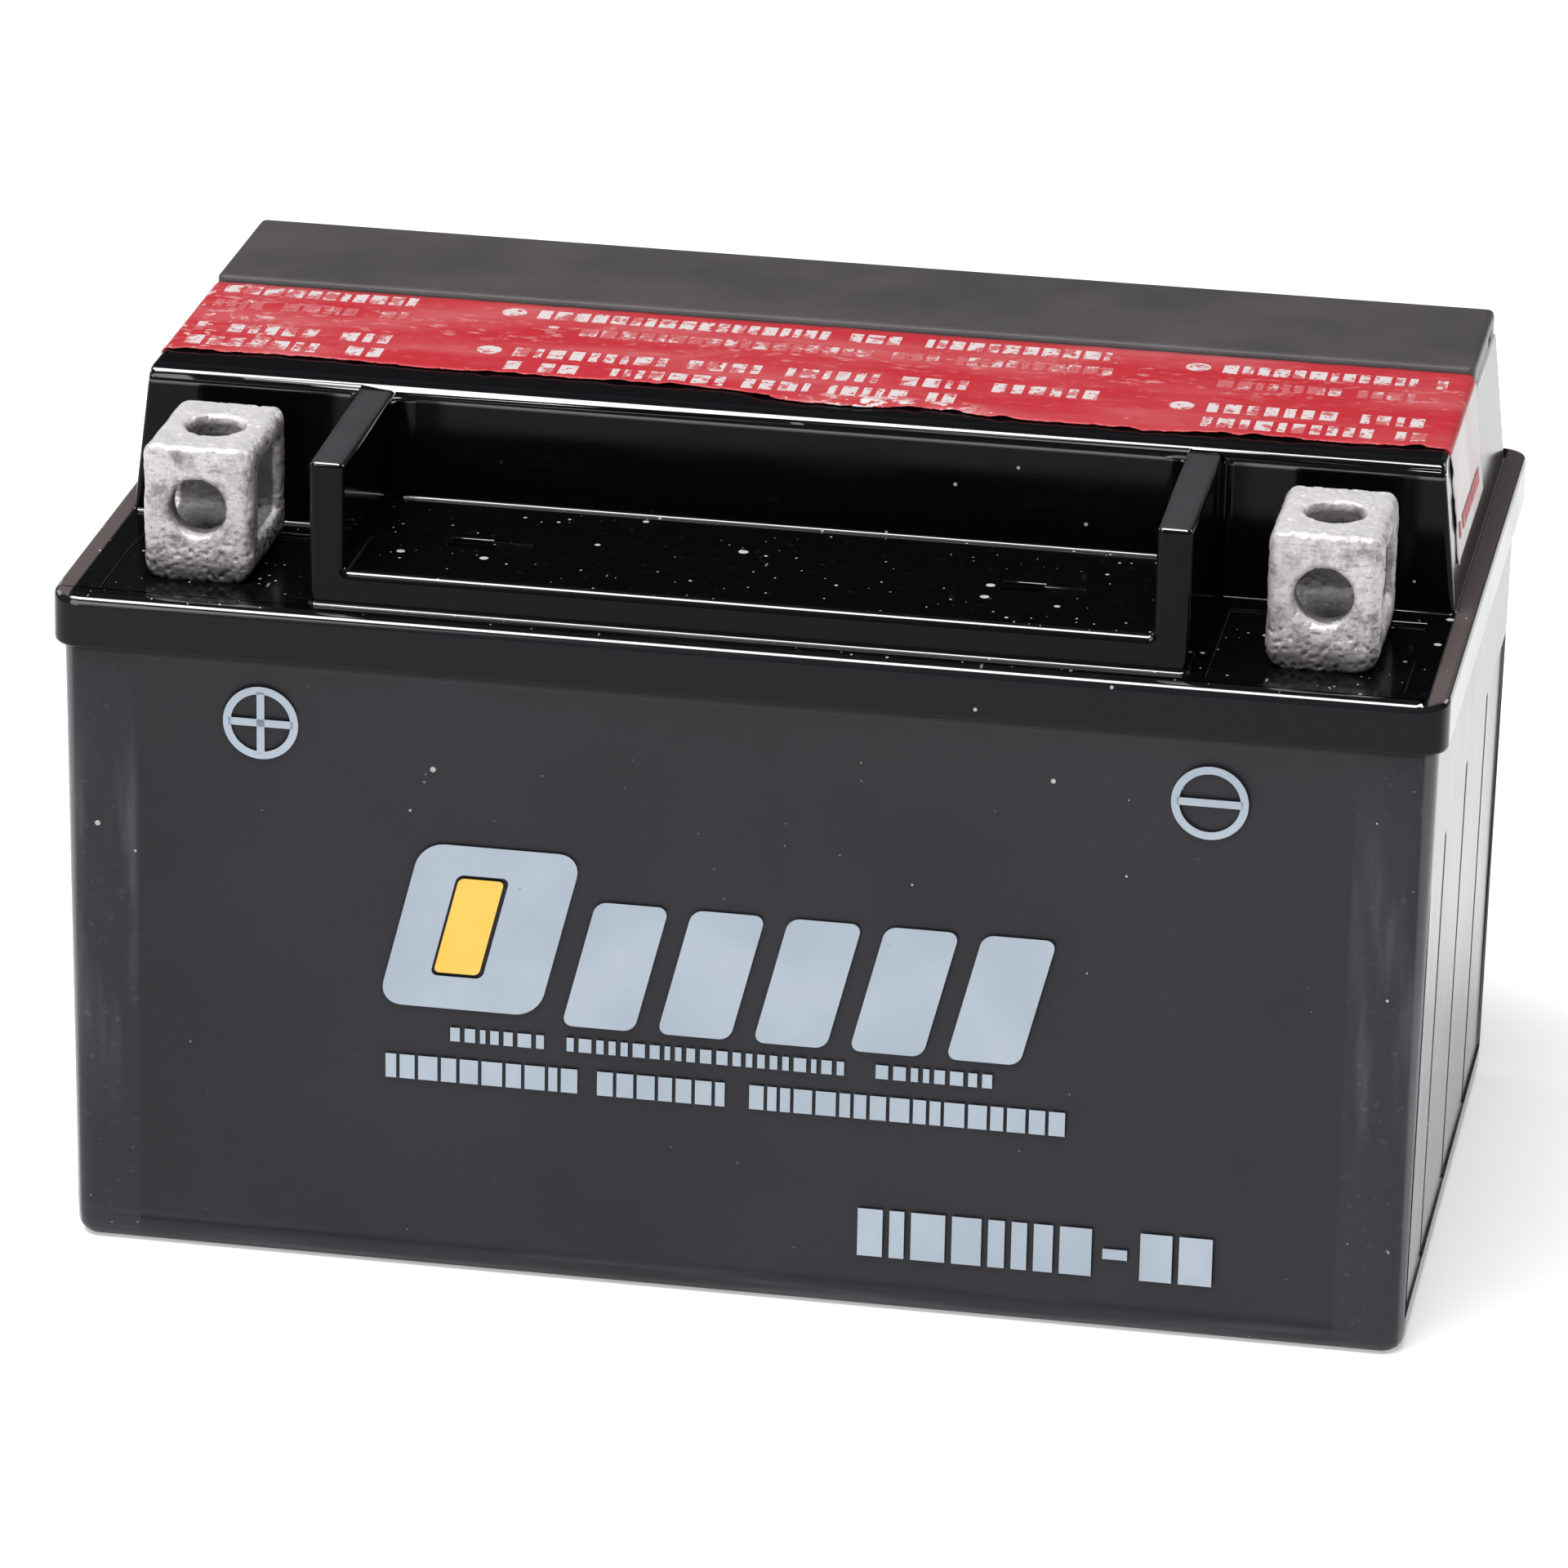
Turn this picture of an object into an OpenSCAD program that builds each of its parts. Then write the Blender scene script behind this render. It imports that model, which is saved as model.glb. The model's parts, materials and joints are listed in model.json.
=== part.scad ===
// Sealed six-cell 12 V motorcycle battery: container, welded lid, plug strip, lead terminals and cell groups.
// Origin at the centre of the base. +X runs from the positive end to the negative end, +Y to the back, +Z up.

/* [Overall] */
// Length over the lid skirt
body_length = 151; // [148:0.5:156]
// Width over the lid skirt
body_width = 87; // [86:0.5:90]
// Height from the base to the top of the plug strip
body_height = 94; // [94:0.5:105]

/* [Container] */
// How far the lid skirt stands out past the container at each end
end_overhang = 1; // [0.8:0.1:1.4]
// How far the lid skirt stands out past the container at front and back
side_overhang = 1.2; // [1:0.1:1.6]
// How far each end wall leans in from top to base
end_draft = 0.7; // [0.3:0.1:1]
// How far the front and back walls lean in from top to base
side_draft = 1.1; // [0.4:0.1:1.4]
// Thickness of the outer walls at the base
wall = 2.2; // [1.8:0.1:2.6]
// Thickness of the floor
floor_thickness = 2.5; // [2:0.1:4]
// Thickness of the walls between the cells
partition = 1.5; // [1.2:0.1:2]
// Radius of the upright corners
corner_radius = 2.6; // [1:0.1:3]
// Radius of the bottom edge
foot_radius = 2; // [0.5:0.1:2.2]
// Depth of the grooves in the end walls
groove_depth = 0.7; // [0.3:0.1:1]
// Height of the raised print panels on front and back
panel_relief = 0.2; // [0.1:0.05:0.4]

/* [Lid] */
// Height of the terminal deck above the base
deck_height = 76.2; // [76:0.1:78]
// Thickness of the deck plate
deck_thickness = 3; // [2.5:0.1:3.2]
// Height of the skirt round the container
skirt_height = 6; // [4.5:0.1:8]
// How far the raised block stands in from the skirt at its foot, at each end
block_inset = 2.2; // [1.5:0.1:3]
// How far the ends of the raised block lean in from foot to top
block_lean = 2; // [0.5:0.1:2.5]
// Front face of the raised block, measured back from the front of the skirt
terminal_bay_depth = 28.5; // [27:0.5:30]
// Back ledge left behind the raised block
back_ledge = 5.2; // [4.5:0.1:6]
// Wall thickness of the raised block
block_wall = 2.2; // [1.8:0.1:2.4]

/* [Tray between the terminals] */
// Length inside the tray
tray_length = 87.4; // [80:0.2:88]
// Thickness of the tray's end walls
tray_wall = 3.8; // [3:0.1:4]
// Height of the tray floor above the deck
tray_step = 4; // [3:0.1:5]
// How far the tray stands back from the front of the skirt
tray_setback = 3.2; // [3:0.1:5]

/* [Terminals] */
// Width of a terminal block
terminal_width = 11.8; // [11:0.1:12.4]
// Front-to-back depth of a terminal block
terminal_depth = 16; // [15:0.1:16.5]
// Height of a terminal block
terminal_height = 15; // [14.5:0.1:16]
// Distance of each terminal from the middle of the battery
terminal_offset = 61; // [60:0.1:61.5]
// Diameter of the two bolt holes in a terminal
bolt_hole = 6.8; // [6.2:0.1:7]
// Thickness of the terminal's front wall
terminal_front_wall = 3; // [2.5:0.1:3.5]
// Thickness of the terminal's top wall
terminal_top_wall = 2.2; // [2:0.1:3]

/* [Plug strip] */
// Width of the strip, front to back
strip_width = 22.1; // [21:0.1:23]
// Thickness of the strip
strip_thickness = 2.7; // [2.4:0.1:3]
// Height that the strip stands above the raised block
strip_proud = 0.9; // [0.5:0.1:1.2]
// Diameter of a filler well
well_diameter = 11.2; // [11:0.1:11.6]
// Length of a plug below the strip
plug_length = 12.3; // [10:0.1:12.6]

/* [Cells] */
// Positive plates in a cell
positive_count = 5; // [3:1:5]
// Thickness of a positive plate
positive_thickness = 1.7; // [1.4:0.05:1.7]
// Thickness of a negative plate
negative_thickness = 1.3; // [1:0.05:1.3]
// Thickness of a pressed glass mat
mat_thickness = 0.58; // [0.4:0.02:0.6]
// Width of a plate
plate_width = 75; // [70:0.5:76]
// Height of a plate
plate_height = 54; // [48:0.5:54]

/* [Hidden] */
$fn = 48;
cells = 6;
seal_gap = 0.05;
touch = 0.01;

half_length = body_length / 2;
half_width = body_width / 2;

// Container
container_top = deck_height - deck_thickness;
container_x = half_length - end_overhang;
container_y = half_width - side_overhang;
base_x = container_x - end_draft;
base_y = container_y - side_draft;
inside_x = base_x - wall;
inside_y = base_y - wall;
cell_length = (2 * inside_x - (cells - 1) * partition) / cells;
cell_pitch = cell_length + partition;
groove_width = 1.4;
groove_ys = [-22, 0, 22];
band_bottom = 4;
band_top = 55;
end_recess = 0.3;
panel_edge = 8.8;
panel_bottom = 3;

// Lid
skirt_bottom = deck_height - skirt_height;
block_top = body_height - strip_proud;
block_foot_x = half_length - block_inset;
block_top_x = block_foot_x - block_lean;
block_front = -half_width + terminal_bay_depth;
block_back = half_width - back_ledge;
skirt_radius = 3.4;
block_edge_radius = 1.8;
rebate_z = body_height - strip_thickness - seal_gap;
strip_front = block_back - strip_width;
recess_depth = 0.4;
bay_recess_in = 49.3;
bay_recess_out = 70.5;
bay_recess_back = block_front - 3.5;
terminal_foot = deck_height - recess_depth;
tray_front = -half_width + tray_setback;
tray_floor = deck_height + tray_step;
tray_top = block_top - 0.7;
pocket_x = 30.2;
pocket_y = -28;
pocket_length = 8.8;
pocket_width = 3;
pocket_depth = 0.4;
pocket_bar = 0.8;

// Filler wells and relief valves
well_r = well_diameter / 2;
well_wall = 1.4;
well_y = block_back - strip_width / 2;
well_floor_z = deck_height - 0.2;
well_floor = 1.5;
spike_r = 1.9;
spike_hole_r = 0.9;
spike_height = 10;
valve_dx = 7.2;
valve_dy = 5.9;
valve_pocket_r = 2.7;
valve_pocket_depth = 3.6;
nipple_r = 1.5;
nipple_height = 2.4;
valve_r = 2.3;
valve_height = 3.1;

// Terminals
terminal_edge_radius = 1.2;
terminal_foot_radius = 2.4;
terminal_floor = 3.8;
terminal_back_wall = 2.5;
slot_radius = 1.4;

// Plug strip
strip_z = body_height - strip_thickness;
strip_half = block_top_x;
plug_r = well_r - 0.3;
plug_bore_r = 3.3;
groove_floor_r = 4.25;
ring_groove_height = 1.4;
ring_z = strip_z - 7;
ring_section_r = 0.62;
ring_r = groove_floor_r + seal_gap + ring_section_r;
channel_depth = 1.2;
channel_width = 2.4;
vent_y = well_y + valve_dy;
filter_x = 65.5;
filter_r = 2.2;
filter_thickness = 0.8;

// Cell groups
negative_count = positive_count + 1;
stack = negative_count * negative_thickness + positive_count * positive_thickness
        + 2 * positive_count * mat_thickness;
plate_bottom = floor_thickness + 1.5;
plate_top = plate_bottom + plate_height;
mat_width = plate_width + 2;
mat_height = plate_height + 2;
lug_width = 9;
lug_height = 3;
lug_y = 26;
strap_bottom = plate_top + lug_height;
strap_height = 4;
strap_width = 11;
tab_thickness = 2.5;
tab_height = 10;
weld_r = 3.2;
weld_z = strap_bottom + tab_height - weld_r - 0.8;
post_r = 4;
resin_r = 5.7;
resin_bottom = deck_height - 5.2;
sleeve_r = 7.5;
sleeve_bottom = resin_bottom - 1.5;
terminal_y = -27;

function cell_x(k) = -inside_x + cell_length / 2 + (k - 1) * cell_pitch;
// Odd cells carry their positive strap at the front, even cells at the back.
function positive_side(k) = k % 2 == 1 ? -1 : 1;
function arc(cx, cy, r, from, to, steps) =
    [for (i = [0:steps]) let (a = from + (to - from) * i / steps) [cx + r * cos(a), cy + r * sin(a)]];

// A flat rectangle with round corners, centred on the origin.
module rounded_rect(x, y, r) {
    square([x, y - 2 * r], center = true);
    square([x - 2 * r, y], center = true);
    for (sx = [-1, 1], sy = [-1, 1])
        translate([sx * (x / 2 - r), sy * (y / 2 - r)]) circle(r);
}

// A wall outline seen end on: it narrows from top to base and has a rounded foot.
module drafted_outline(half_top, half_base, height, r) {
    lean = atan((half_top - half_base) / height);
    right = concat(arc(half_base - r, r, r, -90, -lean, 6), [[half_top, height]]);
    left = [for (i = [len(right) - 1:-1:0]) [-right[i][0], right[i][1]]];
    polygon(concat(right, left));
}

// Extrudes an outline drawn in X and Z along the Y axis, between two Y values.
module along_y(from, to) {
    translate([0, to, 0]) rotate([90, 0, 0]) linear_extrude(to - from) children();
}

// Extrudes an outline drawn in Y and Z along the X axis, between two X values.
module along_x(from, to) {
    translate([from, 0, 0]) rotate([90, 0, 90]) linear_extrude(to - from) children();
}

module box(low, high) {
    translate(low) cube([high[0] - low[0], high[1] - low[1], high[2] - low[2]]);
}

module container_blank(extra) {
    intersection() {
        linear_extrude(container_top)
            rounded_rect(2 * container_x, 2 * (container_y + extra), corner_radius);
        along_y(-half_width, half_width)
            drafted_outline(container_x, base_x, container_top, foot_radius);
        along_x(-half_length, half_length)
            drafted_outline(container_y + extra, base_y + extra, container_top, foot_radius);
    }
}

module container() {
    color([0.17, 0.17, 0.18]) difference() {
        union() {
            container_blank(0);
            intersection() {
                container_blank(panel_relief);
                box([-half_length + panel_edge, -half_width, panel_bottom],
                    [half_length - panel_edge, half_width, skirt_bottom - 1]);
            }
        }
        for (k = [1:cells])
            box([cell_x(k) - cell_length / 2, -inside_y, floor_thickness],
                [cell_x(k) + cell_length / 2, inside_y, container_top + 1]);
        for (k = [1:cells - 1])
            translate([cell_x(k) + cell_length / 2 - 0.5, -positive_side(k) * lug_y, weld_z])
                rotate([0, 90, 0]) cylinder(h = partition + 1, r = weld_r);
        for (side = [-1, 1]) {
            box([side > 0 ? container_x - end_recess : -container_x - 1, -inside_y, band_bottom],
                [side > 0 ? container_x + 1 : -container_x + end_recess, inside_y, band_top]);
            for (y = groove_ys)
                box([side > 0 ? base_x - groove_depth : -container_x - 1,
                     y - groove_width / 2, band_bottom],
                    [side > 0 ? container_x + 1 : -base_x + groove_depth,
                     y + groove_width / 2, band_top]);
        }
    }
}

// The raised block seen from one end, with its round front edge.
module block_end_outline() {
    difference() {
        translate([block_front, deck_height - 1])
            square([block_back - block_front, block_top - deck_height + 1]);
        translate([block_front - 1, block_top - block_edge_radius])
            square(block_edge_radius + 1);
    }
    translate([block_front + block_edge_radius, block_top - block_edge_radius])
        circle(block_edge_radius);
}

// Outside of the lid, before it is hollowed.
module lid_blank() {
    translate([0, 0, skirt_bottom]) linear_extrude(skirt_height)
        rounded_rect(body_length, body_width, skirt_radius);
    intersection() {
        along_y(block_front, block_back)
            polygon([[-block_foot_x, deck_height - 1], [block_foot_x, deck_height - 1],
                     [block_top_x, block_top], [-block_top_x, block_top]]);
        along_x(-half_length, half_length) block_end_outline();
    }
    box([-tray_length / 2 - tray_wall, tray_front, deck_height - 1],
        [tray_length / 2 + tray_wall, block_front + 1, tray_floor]);
    for (side = [-1, 1])
        translate([side * (tray_length + tray_wall) / 2, 0, 0])
            box([-tray_wall / 2, tray_front, deck_height - 1],
                [tray_wall / 2, block_front + 1, tray_top]);
}

// A shallow pocket in the tray floor. One half has a bar along it and the other half is shallower.
module tray_pocket() {
    difference() {
        box([-pocket_length / 2, -pocket_width / 2, -pocket_depth], [0, pocket_width / 2, 1]);
        box([-pocket_length / 2 - 1, -pocket_bar / 2, -pocket_depth - 1],
            [1, pocket_bar / 2, -pocket_depth / 4]);
    }
    box([-touch, -pocket_width / 2, -pocket_depth / 2], [pocket_length / 2, pocket_width / 4, 1]);
}

// Everything that is hollowed out of the lid.
module lid_hollows() {
    translate([0, 0, skirt_bottom - 1]) linear_extrude(container_top - skirt_bottom + 1)
        rounded_rect(2 * (container_x + seal_gap), 2 * (container_y + seal_gap), corner_radius);
    hollow_x = block_top_x - block_wall;
    box([-hollow_x, block_front + block_wall, container_top - 1],
        [hollow_x, strip_front, block_top - block_wall]);
    box([-hollow_x, strip_front - 1, container_top - 1],
        [hollow_x, block_back - block_wall, rebate_z - block_wall]);
    box([-tray_length / 2 + 1, tray_front + block_wall, container_top - 1],
        [tray_length / 2 - 1, block_front + block_wall + 1, tray_floor - block_wall]);
    box([-half_length, strip_front - seal_gap, rebate_z],
        [half_length, block_back + 1, body_height]);
    for (side = [-1, 1])
        translate([side * (bay_recess_in + bay_recess_out) / 2, 0, 0])
            box([-(bay_recess_out - bay_recess_in) / 2, tray_front, terminal_foot],
                [(bay_recess_out - bay_recess_in) / 2, bay_recess_back, deck_height + 1]);
    for (side = [-1, 1])
        translate([side * pocket_x, pocket_y, tray_floor]) tray_pocket();
}

module lid() {
    color([0.03, 0.03, 0.035]) difference() {
        union() {
            difference() {
                lid_blank();
                lid_hollows();
            }
            for (k = [1:cells - 1])
                translate([cell_x(k) + cell_pitch / 2, 0, 0])
                    box([-partition / 2, block_front + 1, container_top],
                        [partition / 2, block_back - 1, rebate_z - block_wall + 1]);
            for (k = [1:cells]) {
                translate([cell_x(k), well_y, well_floor_z - well_floor])
                    cylinder(h = rebate_z - well_floor_z + well_floor, r = well_r + well_wall);
                translate([cell_x(k) + valve_dx, well_y + valve_dy,
                           rebate_z - valve_pocket_depth - 1.2])
                    cylinder(h = valve_pocket_depth + 1.2, r = valve_pocket_r + 1);
            }
            for (side = [-1, 1])
                translate([side * terminal_offset, terminal_y, sleeve_bottom])
                    cylinder(h = container_top - sleeve_bottom + 1, r = sleeve_r);
        }
        for (k = [1:cells]) {
            translate([cell_x(k), well_y, 0]) filler_well();
            translate([cell_x(k) + valve_dx, well_y + valve_dy, 0]) valve_seat();
        }
        for (side = [-1, 1])
            translate([side * terminal_offset, terminal_y, 0]) {
                translate([0, 0, sleeve_bottom - 1])
                    cylinder(h = deck_height - sleeve_bottom, r = post_r + seal_gap);
                translate([0, 0, resin_bottom])
                    cylinder(h = deck_height - resin_bottom + 1, r = resin_r);
            }
    }
}

// The space inside a filler well: a round bore round a hollow piercing spike.
module filler_well() {
    difference() {
        translate([0, 0, well_floor_z]) cylinder(h = body_height - well_floor_z, r = well_r);
        translate([0, 0, well_floor_z - 1]) cylinder(h = spike_height - 1, r = spike_r);
        translate([0, 0, well_floor_z + spike_height - 2 - touch])
            cylinder(h = 2, r1 = spike_r, r2 = spike_hole_r + 0.2);
    }
    translate([0, 0, well_floor_z - well_floor - 1])
        cylinder(h = spike_height + well_floor + 2, r = spike_hole_r);
    for (a = [0, 180])
        rotate([0, 0, a]) translate([3.7, 0, well_floor_z - well_floor - 1])
            cylinder(h = well_floor + 1.5, r = 1);
}

// The space inside a valve pocket: a round pocket round a nipple with a gas hole.
module valve_seat() {
    floor_z = rebate_z - valve_pocket_depth;
    difference() {
        translate([0, 0, floor_z]) cylinder(h = valve_pocket_depth + 1, r = valve_pocket_r);
        translate([0, 0, floor_z - 1]) cylinder(h = nipple_height + 1, r = nipple_r);
    }
    translate([0, 0, floor_z - 3]) cylinder(h = nipple_height + 4, r = 0.5);
}

module relief_valve(k) {
    foot = rebate_z - valve_pocket_depth + 0.1;
    color([0.1, 0.1, 0.1]) translate([cell_x(k) + valve_dx, well_y + valve_dy, foot])
        difference() {
            cylinder(h = valve_height, r = valve_r);
            translate([0, 0, -1]) cylinder(h = nipple_height + 1, r = nipple_r + 0.02);
        }
}

// A printed vinyl sheet across the top of the block, folded down over both ends.
module top_label() {
    sheet = 0.2;
    flap_z = deck_height + 4;
    share = (block_top - flap_z) / (block_top - deck_height + 1);
    flap_x = block_top_x + block_lean * share;
    inner = [[-flap_x, flap_z], [-block_top_x, block_top], [block_top_x, block_top], [flap_x, flap_z]];
    outer = [[flap_x + sheet, flap_z], [block_top_x + sheet, block_top + sheet],
             [-block_top_x - sheet, block_top + sheet], [-flap_x - sheet, flap_z]];
    color([0.78, 0.16, 0.18]) along_y(block_front + 3.6, strip_front - 0.4)
        polygon(concat(inner, outer));
}

module plug_strip() {
    color([0.2, 0.2, 0.2]) difference() {
        union() {
            box([-strip_half, strip_front, strip_z], [strip_half, block_back, body_height]);
            for (k = [1:cells])
                translate([cell_x(k), well_y, strip_z - plug_length])
                    cylinder(h = plug_length + 1, r = plug_r);
        }
        for (k = [1:cells])
            translate([cell_x(k), well_y, 0]) {
                translate([0, 0, strip_z - plug_length - 1])
                    cylinder(h = plug_length, r = plug_bore_r);
                translate([0, 0, ring_z - ring_groove_height / 2]) difference() {
                    cylinder(h = ring_groove_height, r = plug_r + 1);
                    translate([0, 0, -1])
                        cylinder(h = ring_groove_height + 2, r = groove_floor_r);
                }
            }
        box([cell_x(1), vent_y - channel_width / 2, strip_z - 1],
            [strip_half + 1, vent_y + channel_width / 2, strip_z + channel_depth]);
        translate([filter_x, vent_y, strip_z - 1])
            cylinder(h = channel_depth + 1, r = filter_r);
    }
}

module vent_filter() {
    color([0.85, 0.83, 0.78]) translate([filter_x, vent_y, strip_z + channel_depth - filter_thickness])
        cylinder(h = filter_thickness, r = filter_r - seal_gap);
}

module plug_seal(k) {
    color([0.08, 0.08, 0.08]) translate([cell_x(k), well_y, ring_z])
        rotate_extrude() translate([ring_r, 0]) circle(ring_section_r);
}

// A terminal seen from the front: the lower corners draw in more than the upper ones.
module terminal_outline() {
    rounded_rect(terminal_width, terminal_height, terminal_foot_radius);
    translate([0, terminal_foot_radius / 2])
        rounded_rect(terminal_width, terminal_height - terminal_foot_radius, terminal_edge_radius);
}

// A cast lead block with a nut slot through it from side to side, and a bolt hole in front and on top.
module terminal(side) {
    front = terminal_y - terminal_depth / 2;
    slot_z = [terminal_foot + terminal_floor, terminal_foot + terminal_height - terminal_top_wall];
    slot_y = [front + terminal_front_wall, front + terminal_depth - terminal_back_wall];
    color([0.62, 0.62, 0.62]) difference() {
        intersection() {
            translate([side * terminal_offset, terminal_y, terminal_foot])
                linear_extrude(terminal_height)
                    rounded_rect(terminal_width, terminal_depth, terminal_edge_radius);
            along_y(front - 1, front + terminal_depth + 1)
                translate([side * terminal_offset, terminal_foot + terminal_height / 2])
                    terminal_outline();
        }
        translate([side * terminal_offset, (slot_y[0] + slot_y[1]) / 2, (slot_z[0] + slot_z[1]) / 2])
            rotate([90, 0, 90]) translate([0, 0, -terminal_width])
                linear_extrude(2 * terminal_width)
                    rounded_rect(slot_y[1] - slot_y[0], slot_z[1] - slot_z[0], slot_radius);
        translate([side * terminal_offset, front - 1, (slot_z[0] + slot_z[1]) / 2])
            rotate([-90, 0, 0]) cylinder(h = terminal_front_wall + 2, r = bolt_hole / 2);
        translate([side * terminal_offset, (slot_y[0] + slot_y[1]) / 2, slot_z[1] - 1])
            cylinder(h = terminal_top_wall + 2, r = bolt_hole / 2);
    }
}

module post(side) {
    color([0.5, 0.5, 0.52]) translate([side * terminal_offset, terminal_y, strap_bottom + strap_height])
        cylinder(h = terminal_foot - strap_bottom - strap_height, r = post_r);
}

module post_resin(side) {
    color([0.05, 0.05, 0.05]) translate([side * terminal_offset, terminal_y, resin_bottom])
        difference() {
            cylinder(h = terminal_foot - resin_bottom, r = resin_r);
            translate([0, 0, -1]) cylinder(h = deck_height, r = post_r);
        }
}

// One plate with its lug. x is the plate's left face, measured from the cell's middle.
module plate(x, thickness, side) {
    box([x, -plate_width / 2, plate_bottom], [x + thickness, plate_width / 2, plate_top]);
    box([x, side * lug_y - lug_width / 2, plate_top - touch],
        [x + thickness, side * lug_y + lug_width / 2, strap_bottom]);
}

// A negative plate stands at each end of a stack, so plates and mats repeat at this step.
step = positive_thickness + negative_thickness + 2 * mat_thickness;

module negative_plates(k) {
    color([0.45, 0.46, 0.48]) translate([cell_x(k) - stack / 2, 0, 0])
        for (i = [0:negative_count - 1])
            plate(i * step, negative_thickness, -positive_side(k));
}

module positive_plates(k) {
    color([0.32, 0.22, 0.18]) translate([cell_x(k) - stack / 2, 0, 0])
        for (i = [0:positive_count - 1])
            plate(i * step + negative_thickness + mat_thickness, positive_thickness,
                  positive_side(k));
}

module glass_mats(k) {
    second = negative_thickness + mat_thickness + positive_thickness;
    color([0.93, 0.93, 0.9]) translate([cell_x(k) - stack / 2, 0, 0])
        for (i = [0:positive_count - 1], x = [i * step + negative_thickness, i * step + second])
            box([x, -mat_width / 2, plate_bottom - 1], [x + mat_thickness, mat_width / 2,
                plate_bottom - 1 + mat_height]);
}

// The bar cast over a cell's lugs. tab is -1 or 1 for the side of the upright weld tab, or 0 for none.
module strap(k, side, tab) {
    color([0.5, 0.5, 0.52]) translate([cell_x(k), side * lug_y, strap_bottom]) {
        box([-stack / 2, -strap_width / 2, 0], [stack / 2, strap_width / 2, strap_height]);
        if (tab != 0)
            translate([tab * (cell_length - tab_thickness) / 2, 0, 0])
                box([-tab_thickness / 2, -strap_width / 2, 0],
                    [tab_thickness / 2, strap_width / 2, tab_height]);
    }
}

module positive_strap(k) { strap(k, positive_side(k), k == 1 ? 0 : -1); }

module negative_strap(k) { strap(k, -positive_side(k), k == cells ? 0 : 1); }

// The lead slug pressed and welded through a partition, from one cell's negative tab to the next positive tab.
module cell_weld(k) {
    color([0.5, 0.5, 0.52])
        translate([cell_x(k) + cell_length / 2, -positive_side(k) * lug_y, weld_z])
            rotate([0, 90, 0]) cylinder(h = partition, r = weld_r);
}

container();
lid();
top_label();
plug_strip();
vent_filter();
terminal(-1);  // positive_terminal
terminal(1);  // negative_terminal
post(-1);  // positive_post
post(1);  // negative_post
post_resin(-1);  // positive_post_resin
post_resin(1);  // negative_post_resin
for (k = [1:cells]) {
    plug_seal(k);
    relief_valve(k);
    positive_plates(k);
    negative_plates(k);
    glass_mats(k);
    positive_strap(k);
    negative_strap(k);
}
for (k = [1:cells - 1])
    cell_weld(k);
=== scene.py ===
# A sealed six-cell motorcycle battery on a pale studio floor.
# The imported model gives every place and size. Each section below dresses or remakes one piece of it.
import json
import math

import bmesh
import bpy
from mathutils import Matrix, Vector, noise

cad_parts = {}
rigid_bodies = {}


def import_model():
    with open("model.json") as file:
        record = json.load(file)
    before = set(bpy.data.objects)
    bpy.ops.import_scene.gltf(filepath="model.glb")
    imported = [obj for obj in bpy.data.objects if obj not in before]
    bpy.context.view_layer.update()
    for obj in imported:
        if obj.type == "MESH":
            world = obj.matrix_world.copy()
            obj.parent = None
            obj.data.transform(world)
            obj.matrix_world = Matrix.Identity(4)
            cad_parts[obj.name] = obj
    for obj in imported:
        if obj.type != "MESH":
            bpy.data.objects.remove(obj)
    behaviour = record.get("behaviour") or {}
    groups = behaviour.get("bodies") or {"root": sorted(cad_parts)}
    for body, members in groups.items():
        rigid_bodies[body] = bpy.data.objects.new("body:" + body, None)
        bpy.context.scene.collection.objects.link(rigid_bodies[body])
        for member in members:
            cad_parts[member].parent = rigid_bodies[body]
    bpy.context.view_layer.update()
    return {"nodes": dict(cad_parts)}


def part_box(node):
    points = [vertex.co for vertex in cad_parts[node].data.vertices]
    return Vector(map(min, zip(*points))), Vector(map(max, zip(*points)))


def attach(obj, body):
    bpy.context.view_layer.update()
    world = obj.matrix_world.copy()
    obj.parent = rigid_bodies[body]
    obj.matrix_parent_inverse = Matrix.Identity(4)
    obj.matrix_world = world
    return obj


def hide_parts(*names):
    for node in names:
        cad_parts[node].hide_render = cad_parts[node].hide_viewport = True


for leftover in list(bpy.data.objects):
    bpy.data.objects.remove(leftover)

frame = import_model()
MM = 0.001


# ---------------------------------------------------------------------------------------------------
# Container. A polypropylene box moulded in one piece with its five partitions. Its front and back carry
# a raised print panel, and each end wall has a shallow sunk field with three upright grooves.
# It is lofted from rings that follow the mould's draft, then the six cells are cut out of it.

def add_node(tree, kind, settings=None, values=None):
    """Adds a node: its settings first, then the values or sockets that feed its inputs, by name or place."""
    made = tree.nodes.new(kind)
    for name, value in (settings or {}).items():
        setattr(made, name, value)
    for key, value in (values or {}).items():
        free = [s for s in made.inputs if not s.is_unavailable]
        target = made.inputs[key] if isinstance(key, int) else next(s for s in free if s.name == key)
        if isinstance(value, bpy.types.NodeSocket):
            tree.links.new(value, target)
        else:
            target.default_value = value
    return made


def result(node, name=None):
    """A node's output of that name, or its first one."""
    return next(s for s in node.outputs if not s.is_unavailable and name in (None, s.name))


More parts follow.
